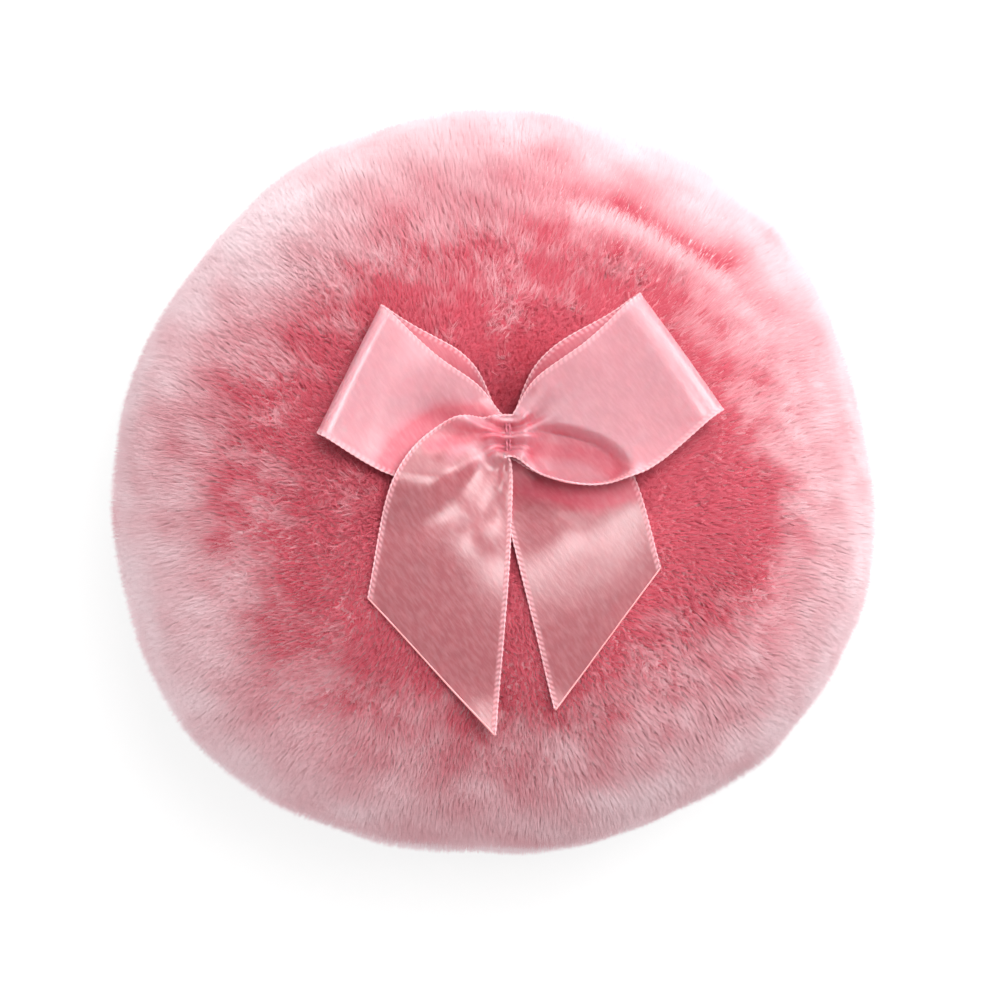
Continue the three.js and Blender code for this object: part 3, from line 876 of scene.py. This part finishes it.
    def rows(self):
        """The whole ribbon from the left tail's cut end to the right tail's."""
        skew = self.ribbon.loop_skew
        left_tail = self.leg(-1, LEFT_TAIL_SHARES, "left tail", self.tail_rows)
        right_over = self.leg(1, RIGHT_LOOP_SHARES, "right over", self.loop_rows)
        right_under = self.leg(1, RIGHT_LOOP_SHARES, "right under", self.loop_rows, skew)
        left_over = self.leg(-1, LEFT_LOOP_SHARES, "left over", self.loop_rows)
        left_under = self.leg(-1, LEFT_LOOP_SHARES, "left under", self.loop_rows, skew)
        right_tail = self.leg(1, RIGHT_TAIL_SHARES, "right tail", self.tail_rows)
        return np.concatenate([
            left_tail[::-1],
            right_over,
            self.fold(right_over[-1], right_under[-1]),
            right_under[::-1],
            left_over,
            self.fold(left_over[-1], left_under[-1]),
            left_under[::-1],
            right_tail,
        ])


def sheet_mesh(name, rows, hollow, width, thickness, material):
    """A thin closed skin over rows of points, with the way along and across it in millimetres."""
    count, across = rows.shape[:2]
    normal = unit(np.cross(np.gradient(rows, axis=0), np.gradient(rows, axis=1)))
    facing = np.concatenate([normal.reshape(-1, 3), -normal.reshape(-1, 3)])
    points = np.concatenate([rows.reshape(-1, 3)] * 2) + facing * thickness / 2
    top = grid_faces(count, across)
    bottom = (top + count * across)[:, ::-1]
    first = np.arange(count - 1) * across
    side = np.stack([first, first + across, first + across + count * across,
                     first + count * across], -1)
    far = (side + across - 1)[:, ::-1]
    start = np.arange(across - 1)
    end = np.stack([start + 1, start, start + count * across, start + 1 + count * across], -1)
    last = (end + (count - 1) * across)[:, ::-1]
    faces = np.concatenate([top, bottom, side, far, end, last])[:, ::-1]
    run = np.cumsum(np.linalg.norm(np.diff(rows, axis=0, prepend=rows[:1]), axis=2), axis=0)
    run += (run[-1].max() - run[-1]) / 2
    side_way = np.broadcast_to(np.linspace(0, width, across), run.shape)
    flat = np.stack([run, side_way], -1).reshape(-1, 2) / MM
    # Painted shade mask: the less open a point is, and the deeper in a listed hollow, the more the
    # satin is painted deep pink there
    free = openness(points, facing, faces) * (1 - np.tile(hollow.ravel(), 2))
    maps = {
        CLOTH_MAP: np.concatenate([flat, flat])[faces.ravel()],
        PAINTED_SHADE_MAP: np.stack([free, 0 * free], -1)[faces.ravel()],
    }
    sheet = mesh_object(name, points, [faces], material, maps)
    shade_along(sheet, facing)
    return sheet


def shade_along(piece, normals):
    """Shade a piece by normals of its own, one for every point."""
    layer = piece.data.attributes.new("custom_normal", "FLOAT_VECTOR", "POINT")
    layer.data.foreach_set("vector", normals.astype(np.float32).ravel())


def openness(points, normals, faces, reach=5 * MM, start_gap=0.12 * MM, rays=28):
    """How free each point of a surface is of other parts of it within a reach, from 0 to 1."""
    tree = BVHTree.FromPolygons(points.tolist(), faces.tolist())
    rise = np.sqrt((np.arange(rays) + 0.5) / rays)
    turn = np.arange(rays) * GOLDEN_ANGLE
    aside = unit(np.cross(normals, (0.31, 0.52, 0.79)))
    ahead = np.cross(normals, aside)
    starts = [Vector(start) for start in points + normals * start_gap]
    free = np.zeros(len(points))
    for angle, height in zip(turn, rise):
        flat = math.sqrt(1 - height * height)
        ways = flat * (math.cos(angle) * aside + math.sin(angle) * ahead) + height * normals
        for i, (start, way) in enumerate(zip(starts, ways.tolist())):
            hit = tree.ray_cast(start, way, reach)[3]
            free[i] += 1 if hit is None else hit / reach
    return free / rays


def run_along(path):
    """How far along a path each of its points is."""
    return np.concatenate([[0], np.cumsum(np.linalg.norm(np.diff(path, axis=0), axis=1))])


def tube(path, radii, sides, name, material):
    """A closed round tube along a path, with a radius for every point."""
    way = unit(np.gradient(path, axis=0))
    aside = np.zeros_like(path)
    first = np.cross(way[0], (0.0, 0.0, 1.0))
    if np.linalg.norm(first) < 0.1:
        first = np.cross(way[0], (1.0, 0.0, 0.0))
    aside[0] = unit(first)
    for i in range(1, len(path)):
        turned = aside[i - 1] - (aside[i - 1] @ way[i]) * way[i]
        aside[i] = unit(turned)
    up = np.cross(way, aside)
    angle = np.linspace(0, 2 * math.pi, sides, endpoint=False)[None, :, None]
    ring = aside[:, None] * np.cos(angle) + up[:, None] * np.sin(angle)
    points = (path[:, None] + ring * np.asarray(radii)[:, None, None]).reshape(-1, 3)
    walls = grid_faces(len(path), sides, closed=True)[:, ::-1]
    start = np.arange(sides)[None]
    end = (start + (len(path) - 1) * sides)[:, ::-1]
    return mesh_object(name, points, [walls, start, end], material)


class PUFF_OT_stage(bpy.types.Operator):
    """Add the camera, the lamps and the floor"""

    bl_idname = "puff.stage"
    bl_label = "Stage"

    floor_half = 3000 * MM
    floor_drop = 0.2 * MM

    def execute(self, context):
        stage = context.scene.puff_stage
        aim = Vector(stage.aim)
        level = math.cos(stage.elevation)
        away = Vector((-math.sin(stage.azimuth) * level, -math.cos(stage.azimuth) * level,
                       math.sin(stage.elevation)))
        camera = bpy.data.cameras.new("camera")
        camera.lens = stage.lens
        camera.sensor_width = 36
        camera.clip_start = 10 * MM
        view = self.place(context, "camera", camera, aim + away * stage.distance, aim)
        view.rotation_euler.rotate_axis("Z", stage.roll)
        context.scene.camera = view
        for name, (spot, size) in LAMPS.items():
            power = getattr(stage, f"{name}_power")
            self.lamp(context, f"{name} lamp", spot, size, power)
        self.sky(context, stage.sky)
        self.floor(stage.floor_colour)
        context.scene.view_settings.view_transform = "Standard"
        return {"FINISHED"}

    @staticmethod
    def place(context, name, data, spot, aim):
        thing = bpy.data.objects.new(name, data)
        thing.location = spot
        thing.rotation_euler = (Vector(aim) - Vector(spot)).to_track_quat("-Z", "Y").to_euler()
        context.collection.objects.link(thing)
        return thing

    def lamp(self, context, name, spot, size, power):
        light = bpy.data.lights.new(name, "AREA")
        light.size = size * MM
        light.energy = power
        self.place(context, name, light, Vector(spot) * MM, Vector((0, 0, EQUATOR)))

    @staticmethod
    def sky(context, strength):
        """Even light all round. What looks at it, or mirrors it, sees white."""
        world = bpy.data.worlds.new("even light")
        context.scene.world = world
        world.use_nodes = True
        sky = Finish.of_tree(world.node_tree)
        even = sky.node("ShaderNodeBackground", sockets={"Strength": strength})
        white = sky.node("ShaderNodeBackground", sockets={"Color": (1, 1, 1, 1), "Strength": 1.0})
        mixed = sky.node("ShaderNodeMixShader", sockets={0: sky.seen(), 1: even, 2: white})
        sky.node("ShaderNodeOutputWorld", sockets={"Surface": mixed})

    def floor(self, colour):
        corners = np.array([(-1.0, -1.0, 0), (1.0, -1.0, 0), (1.0, 1.0, 0), (-1.0, 1.0, 0)])
        corners = corners * self.floor_half
        corners[:, 2] = -self.floor_drop
        floor = mesh_object("floor", corners, [np.array([[0, 1, 2, 3]])], floor_finish(colour))


class PUFF_OT_bow(bpy.types.Operator):
    """Fold the ribbon into the bow, with its looped selvedges"""

    bl_idname = "puff.bow"
    bl_label = "Satin bow"

    picot_pitch = 0.62 * MM
    picot_radius = 0.11 * MM
    bead_radius = 0.12 * MM

    def execute(self, context):
        ribbon, fur = context.scene.puff_ribbon, context.scene.puff_fur
        rows = Bow(ribbon, fur).rows()
        # How deep each point lies in the painted shade of the hollows
        hollow = rows[..., 3]
        rows = rows[..., :3]
        length = float(np.linalg.norm(np.diff(rows, axis=0), axis=2).sum(0).max())
        finish = satin_finish(ribbon, length / MM)
        bow = sheet_mesh("satin_bow", rows, hollow, ribbon.width, ribbon.thickness, finish)
        edges = [self.selvedge(name, rows[:, column], ribbon)
                 for name, column in (("front_selvedge", 0), ("back_selvedge", -1))]
        edges += [self.cut_end(name, rows[row], ribbon)
                  for name, row in (("left_cut_end", 0), ("right_cut_end", -1))]
        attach(bow, ROOT)
        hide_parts("bow_ribbon")
        return {"FINISHED"}

    def selvedge(self, name, path, ribbon):
        """The woven edge: a fine cord that swells into small loops."""
        run = run_along(path)
        even = np.arange(0, run[-1], self.picot_pitch / 4)
        line = np.stack([np.interp(even, run, path[:, k]) for k in range(3)], -1)
        swelling = 0.5 + 0.5 * np.cos(2 * math.pi * even / self.picot_pitch)
        radii = self.picot_radius * (0.6 + 0.75 * swelling)
        finish = thread_finish(f"{name} thread", tuple(ribbon.edge_colour), 0.9)
        edge = tube(line, radii, 6, name, finish)
        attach(edge, ROOT)
        return edge

    def cut_end(self, name, path, ribbon):
        """The cut end of a tail, melted into a fine bead so that it doesn't fray."""
        finish = thread_finish(f"{name} bead", tuple(ribbon.cut_colour), 0.95)
        bead = tube(path, np.full(len(path), self.bead_radius), 6, name, finish)
        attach(bead, ROOT)
        return bead


class PUFF_OT_threads(bpy.types.Operator):
    """Wind the cinch thread and finish the sewing threads"""

    bl_idname = "puff.threads"
    bl_label = "Threads"

    turns = 2
    pitch = 0.34 * MM
    ply_radius = 0.09 * MM
    ply_offset = 0.075 * MM
    twist = 1.1 * MM
    end_inset = 0.15 * MM
    side_slack = 0.45 * MM
    steps_a_turn = 96
    squareness = 0.62
    colour = (0.55, 0.14, 0.19)

    def squared(self, value):
        """A sine or cosine drawn outward, so that a round turn hugs a flat waist."""
        return np.sign(value) * np.abs(value) ** self.squareness

    def execute(self, context):
        low, high = CINCH_BOX
        middle = (low.z + high.z) / 2
        half_height = (high.z - low.z) / 2 - self.end_inset
        half_width = context.scene.puff_ribbon.gather / 2 + self.side_slack
        count = self.steps_a_turn * self.turns + 1
        turn = np.linspace(0, 2 * math.pi * self.turns, count) - math.pi / 2
        path = np.stack([
            self.pitch * np.linspace(-self.turns / 2, self.turns / 2, count),
            half_width * self.squared(np.cos(turn)),
            middle + half_height * self.squared(np.sin(turn)),
        ], -1)
        way = unit(np.gradient(path, axis=0))
        side = unit(np.cross(way, (1.0, 0.0, 0.0)))
        run = run_along(path)
        finish = thread_finish("cinch thread", self.colour)
        for ply in range(2):
            spin = 2 * math.pi * run / self.twist + ply * math.pi
            offset = np.cos(spin)[:, None] * side + np.sin(spin)[:, None] * np.cross(way, side)
            strand = tube(path + self.ply_offset * offset, np.full(count, self.ply_radius), 8,
                          f"cinch_ply_{ply + 1}", finish)
            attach(strand, ROOT)
            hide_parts("cinch_thread")
        for name in ("rim_seam_thread", "closing_stitch_thread", "anchor_thread"):
            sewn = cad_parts[name].data
            sewn.materials.clear()
            sewn.materials.append(finish)
        return {"FINISHED"}


class PUFF_OT_beds(bpy.types.Operator):
    """Make the two plush panels' dense pile and the filling inside them"""

    bl_idname = "puff.beds"
    bl_label = "Panels and filling"

    around = 180
    steps = 90
    rim_gap = 0.15 * MM
    lining_gap = 1.6 * MM
    lumps = ((0.5 * MM, 7 * MM, 9), (0.4 * MM, 3 * MM, 10))

    def execute(self, context):
        fur = context.scene.puff_fur
        outline = Outline(fur)
        finish = pile_bed_finish(fur)
        parts = (
            ("plush_top_bed", "fur_top_panel", 0.0, outline.rim - self.rim_gap),
            ("plush_base_bed", "fur_base_panel", outline.rim + self.rim_gap, outline.length[-1]),
        )
        for name, node, start, end in parts:
            bed = self.shell(name, outline, start, end, (fur.bed_depth, fur.plush_depth), finish)
            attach(bed, ROOT)
            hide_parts(node)
        filling = self.filling(outline, fur, filling_finish())
        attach(filling, ROOT)
        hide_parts("fibre_filling")
        return {"FINISHED"}

    def rings(self, outline, start, end, depth, bulge):
        """Rings of points at one depth, from one length of the outline to another."""
        length = np.linspace(start, end, self.steps)
        angle = np.linspace(0, 2 * math.pi, self.around, endpoint=False)
        along, turn = (grid.ravel() for grid in np.meshgrid(length, angle, indexing="ij"))
        points, normals = outline.at(along, turn, depth)
        points += normals * bulge(points)[:, None]
        return points.reshape(self.steps, self.around, 3)

    def shell(self, name, outline, start, end, depths, finish):
        """One panel: its outer face, its lining and the edge between them, closed on itself."""
        outer, inner = (self.rings(outline, start, end, depth, swell) for depth in depths)
        rows = np.concatenate([outer, inner[::-1]])
        if start == 0:
            rows[0] = rows[0].mean(0)
            rows[-1] = rows[-1].mean(0)
        return self.closed_rows(name, rows, finish, pole_first=start == 0)

    def closed_rows(self, name, rows, finish, pole_first):
        """Rings of points as a closed body: its two poles are single points."""
        if not pole_first:
            half = len(rows) // 2
            rows = np.concatenate([rows[half:], rows[:half]])
        rings = rows[1:-1].reshape(-1, 3)
        poles = np.stack([rows[0].mean(0), rows[-1].mean(0)])
        points = np.concatenate([poles, rings])
        walls = 2 + grid_faces(len(rows) - 2, self.around, closed=True)
        start = 2 + np.arange(self.around)
        after = 2 + (np.arange(self.around) + 1) % self.around
        shift = (len(rows) - 3) * self.around
        cap = np.stack([np.zeros(self.around, int), after, start], -1)
        end = np.stack([np.ones(self.around, int), start + shift, after + shift], -1)
        return mesh_object(name, points, [walls[:, ::-1], cap[:, ::-1], end[:, ::-1]], finish)

    def lumpy(self, points):
        return sum(height * waves(points, size, seed) for height, size, seed in self.lumps)

    def filling(self, outline, fur, finish):
        depth = fur.plush_depth + self.lining_gap
        rows = self.rings(outline, 0, outline.length[-1], depth, self.lumpy)
        return self.closed_rows("lumpy_filling", rows, finish, pole_first=True)


class PUFF_OT_pile(bpy.types.Operator):
    """Grow the open pile over both panels"""

    bl_idname = "puff.pile"
    bl_label = "Pile"

    pieces = 14
    seed = 21
    share_of_sphere = 0.7
    root_jitter = 0.16 * MM
    sag = 0.25 * MM
    ground_gap = 0.12 * MM

    # The deep pink over the crown is partly painted shade round the bow; behind the bow it reaches
    # less far, so that side, which the key lamp lights, is painted paler as light
    deep_zone = (26 * MM, 42 * MM)
    deep_behind = 0.35
    stray_zone = (39 * MM, 43 * MM)
    stray_growth = 0.30
    length_spread = 0.10

    outward_lean = 0.22
    drift_lean = 0.13
    calm_sway = 0.28
    ruffled_sway = 0.82
    lock_sway = 0.30
    fibre_sway = 0.14
    lock_pull = (0.35, 0.75)
    lock_width = 0.35
    lock_tone = 0.25

    # The pile grows pale towards the rim, partly as painted light on the sides
    pale_zone = (19 * MM, 48 * MM)
    base_tone = 0.10
    ruffled_share = 0.3
    ruffled_highlight = 0.17

    press_reach = 4.5 * MM
    under_ribbon = 0.25 * MM
    least_reach = 0.2
    beside_press = 0.15
    under_shade = 0.25
    beside_shade = 0.30

    def execute(self, context):
        fur = context.scene.puff_fur
        outline = Outline(fur)
        length, angle = outline.spread(fur.fibre_count)
        random = np.random.default_rng(self.seed)
        length += random.normal(0, self.root_jitter, len(length))
        length = np.clip(length, 0, outline.length[-1])
        radius = np.maximum(np.interp(length, outline.length, outline.radius), MM)
        angle += random.normal(0, self.root_jitter, len(angle)) / radius
        roots, normals = outline.at(length, angle, fur.bed_depth)
        roots += normals * swell(roots)[:, None]
        on_top = length < outline.rim
        tips, tones = self.comb(roots, normals, on_top, fur, random)
        lit = unit(normals + np.array((0, 0, 0.5)))
        self.build(roots, tips, tones, lit, on_top, fur, random)
        return {"FINISHED"}

    def comb(self, roots, normals, on_top, fur, random):
        """Where each fibre ends, and how pale it is."""
        plan = roots[:, :2]
        radius = np.hypot(plan[:, 0], plan[:, 1])
        # Painted light: the side behind the bow is painted paler
        behind = self.deep_behind * np.maximum(plan[:, 1], 0)
        deep = 1 - smooth_step(radius + behind, *self.deep_zone)
        ruffled = smooth_step(waves(roots, 7 * MM, 41), -0.6, 0.7) * deep
        heads, lock = self.locks(roots, fur, random)
        way = self.lean(roots, normals, ruffled, heads, lock, random)
        length = fur.pile_length * self.lengths(roots, radius, random)
        tone = self.tones(roots, radius, deep, random)
        tone[~on_top] += self.base_tone
        for furrow in FURROWS:
            near = near_line(plan[:, 0], plan[:, 1], furrow["line"], furrow["width"]) * on_top
            length *= 1 + furrow["rise"] * near
            tone += furrow["tone"] * near
        for place, spread, paler in FLUSHES:
            distance = np.linalg.norm(plan - np.array(place) * MM, axis=1)
            tone += paler * np.exp(-((distance / (spread * MM)) ** 2)) * on_top
        tips = roots + way * length[:, None]
        head = heads[lock]
        pull = ((0.45 + 0.55 * deep) * random.uniform(*self.lock_pull, len(roots)))[:, None]
        drawn = tips[head] + (roots - roots[head]) * self.lock_width
        tips = tips * (1 - pull) + drawn * pull
        tone = tone * (1 - self.lock_tone) + tone[head] * self.lock_tone
        tone += (0.02 + 0.02 * deep) * random.normal(0, 1, len(heads))[lock]
        # Painted highlights: some locks in the ruffled patches are painted paler, as if they caught
        # the light
        tone += self.ruffled_highlight * ruffled * (random.random(len(heads)) < self.ruffled_share)[lock]
        tips, tone = self.press_under_bow(roots, tips, tone, on_top)
        tips[:, 2] -= self.sag * (1 - normals[:, 2])
        tips[:, 2] = np.maximum(tips[:, 2], self.ground_gap)
        return tips, np.clip(tone, 0.02, 0.98)

    def lean(self, roots, normals, ruffled, heads, lock, random):
        """The way each fibre points: outward, with the drift of the pile, its lock and its own."""
        outward = roots * (1, 1, 0)
        outward /= np.maximum(np.linalg.norm(outward, axis=1), MM)[:, None]
        drift = np.stack([waves(roots, 15 * MM, seed) for seed in (31, 32, 33)], -1)
        way = normals + self.outward_lean * outward + self.drift_lean * drift
        wild = (self.calm_sway + self.ruffled_sway * ruffled)[:, None]
        way += wild * random.normal(0, self.lock_sway, (len(heads), 3))[lock]
        way += wild * random.normal(0, self.fibre_sway, (len(roots), 3))
        return unit(way)

    def lengths(self, roots, radius, random):
        """How long each fibre is beside the usual one, with a few stray ones at the rim."""
        stray = smooth_step(radius, *self.stray_zone) * random.random(len(roots)) ** 4
        own = random.uniform(-self.length_spread, self.length_spread, len(roots))
        return 1 + 0.10 * waves(roots, 9 * MM, 37) + self.stray_growth * stray + own

    def tones(self, roots, radius, deep, random):
        """How pale each fibre is, in patches of three sizes: deep pink at the crown, partly painted
        shade round the bow, and pale at the rim, partly painted light on the sides.
        """
        tone = 0.03 + 0.06 * waves(roots, 9 * MM, 38)
        tone += (0.045 + 0.05 * deep) * waves(roots, 4.5 * MM, 39)
        tone += 0.06 * deep * waves(roots, 2.4 * MM, 40)
        tone += (0.03 + 0.03 * deep) * random.normal(0, 1, len(roots))
        return tone + 0.94 * smooth_step(radius, *self.pale_zone)

    def locks(self, roots, fur, random):
        """The fibres that lead the small locks, and which lock each fibre belongs to."""
        area = 4 * math.pi * RIM_RADIUS ** 2 * self.share_of_sphere
        wanted = int(area / fur.lock_spacing ** 2)
        heads = random.choice(len(roots), wanted, replace=False)
        tree = KDTree(wanted)
        for i, head in enumerate(heads):
            tree.insert(roots[head], i)
        tree.balance()
        return heads, np.array([tree.find(root)[1] for root in roots])

    def press_under_bow(self, roots, tips, tone, on_top):
        """The bow presses the pile under it down, and the pile beside it a little; both are painted
        deeper as shade.
        """
        bow = bpy.data.objects["satin_bow"].data
        points = np.zeros(len(bow.vertices) * 3, np.float32)
        bow.vertices.foreach_get("co", points)
        tree = BVHTree.FromPolygons(
            points.reshape(-1, 3).tolist(), [tuple(face.vertices) for face in bow.polygons])
        low, high = (np.array(corner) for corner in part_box("bow_ribbon"))
        margin = self.press_reach
        near = on_top & np.all(
            (roots[:, :2] > low[:2] - margin) & (roots[:, :2] < high[:2] + margin), axis=1)
        for i in np.flatnonzero(near):
            root, tip = Vector(roots[i]), Vector(tips[i])
            way = tip - root
            reach = way.length
            hit = tree.ray_cast(root, way, reach + self.under_ribbon)[3]
            if hit is not None:
                left = max(hit - self.under_ribbon, self.least_reach * reach)
                tips[i] = root + way * left / reach
                # Painted shade under the ribbon
                tone[i] -= self.under_shade
                continue
            gap = tree.find_nearest(tip, self.press_reach)[3]
            if gap is not None:
                press = 1 - gap / self.press_reach
                tips[i] = root + way * (1 - self.beside_press * press)
                # Painted shade beside the ribbon
                tone[i] -= self.beside_shade * press
        return tips, tone

    def build(self, roots, tips, tones, bodies, on_top, fur, random):
        finish = fibre_finish(fur)
        half = self.pieces // 2
        sides = (("top", on_top, "fur_top_panel"), ("base", ~on_top, "fur_base_panel"))
        for label, chosen, node in sides:
            index = np.flatnonzero(chosen)
            angle = np.arctan2(roots[index, 1], roots[index, 0])
            order = index[np.argsort(angle, kind="stable")]
            for part, members in enumerate(np.array_split(order, half)):
                piece = self.needles(
                    f"{label}_pile_{part + 1}", roots[members], tips[members], tones[members],
                    bodies[members], fur.fibre_width / 2, finish, random)
                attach(piece, ROOT)
                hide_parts(node)

    @staticmethod
    def needles(name, roots, tips, tones, bodies, radius, finish, random):
        """Closed tapered fibres of three sides. They are shaded mostly as the body under them is,
        because real fibres are so fine that light passes round and through them."""
        count = len(roots)
        way = unit(tips - roots)
        aside = unit(np.cross(way, unit(random.normal(size=(count, 3)))))
        up = np.cross(way, aside)
        turn = (np.arange(3) * (2 * math.pi / 3))[None, :, None]
        spokes = aside[:, None] * np.cos(turn) + up[:, None] * np.sin(turn)
        thick = radius * random.uniform(0.75, 1.25, count)[:, None, None]
        points = np.concatenate([roots[:, None] + spokes * thick, tips[:, None]], axis=1)
        corners = (np.arange(count) * 4)[:, None, None] + np.array(
            [(0, 1, 3), (1, 2, 3), (2, 0, 3), (2, 1, 0)])[None]
        across = np.clip(tones[:, None] + np.array([-0.012, 0.0, 0.012, 0.0])[None], 0.001, 0.999)
        climb = np.broadcast_to(np.array([0.02, 0.0, 0.02, 1.0]), across.shape)
        places = np.stack([across, climb], -1).reshape(-1, 2)
        faces = [corners.reshape(-1, 3)]
        corners = corners.ravel()
        piece = mesh_object(name, points.reshape(-1, 3), faces, finish, {BAKE_MAP: places[corners]})
        own = unit(points - (roots + 0.3 * (tips - roots))[:, None])
        soft = unit(0.9 * bodies[:, None] + 0.25 * own)
        shade_along(piece, soft)
        return piece


class PUFF_PT_panel(bpy.types.Panel):
    """The puff's steps, in order"""

    bl_idname = "PUFF_PT_panel"
    bl_label = "Powder puff"
    bl_space_type = "VIEW_3D"
    bl_region_type = "UI"
    bl_category = "Puff"

    def draw(self, context):
        for group in (context.scene.puff_fur, context.scene.puff_ribbon, context.scene.puff_stage):
            box = self.layout.box()
            for name in group.bl_rna.properties.keys():
                if name not in ("rna_type", "name"):
                    box.prop(group, name)
        for step in STEPS:
            self.layout.operator(step)


GROUPS = (FurSizes, RibbonSizes, StageSizes)
OPERATORS = (PUFF_OT_stage, PUFF_OT_bow, PUFF_OT_threads, PUFF_OT_beds, PUFF_OT_pile)
STEPS = tuple(kind.bl_idname for kind in OPERATORS)
CLASSES = (*GROUPS, *OPERATORS, PUFF_PT_panel)


def register():
    for kind in CLASSES:
        bpy.utils.register_class(kind)
    bpy.types.Scene.puff_fur = bpy.props.PointerProperty(type=FurSizes)
    bpy.types.Scene.puff_ribbon = bpy.props.PointerProperty(type=RibbonSizes)
    bpy.types.Scene.puff_stage = bpy.props.PointerProperty(type=StageSizes)


def unregister():
    del bpy.types.Scene.puff_fur
    del bpy.types.Scene.puff_ribbon
    del bpy.types.Scene.puff_stage
    for kind in reversed(CLASSES):
        bpy.utils.unregister_class(kind)


def main():
    register()
    for step in STEPS:
        category, name = step.split(".")
        getattr(getattr(bpy.ops, category), name)()


if __name__ == "__main__":
    main()
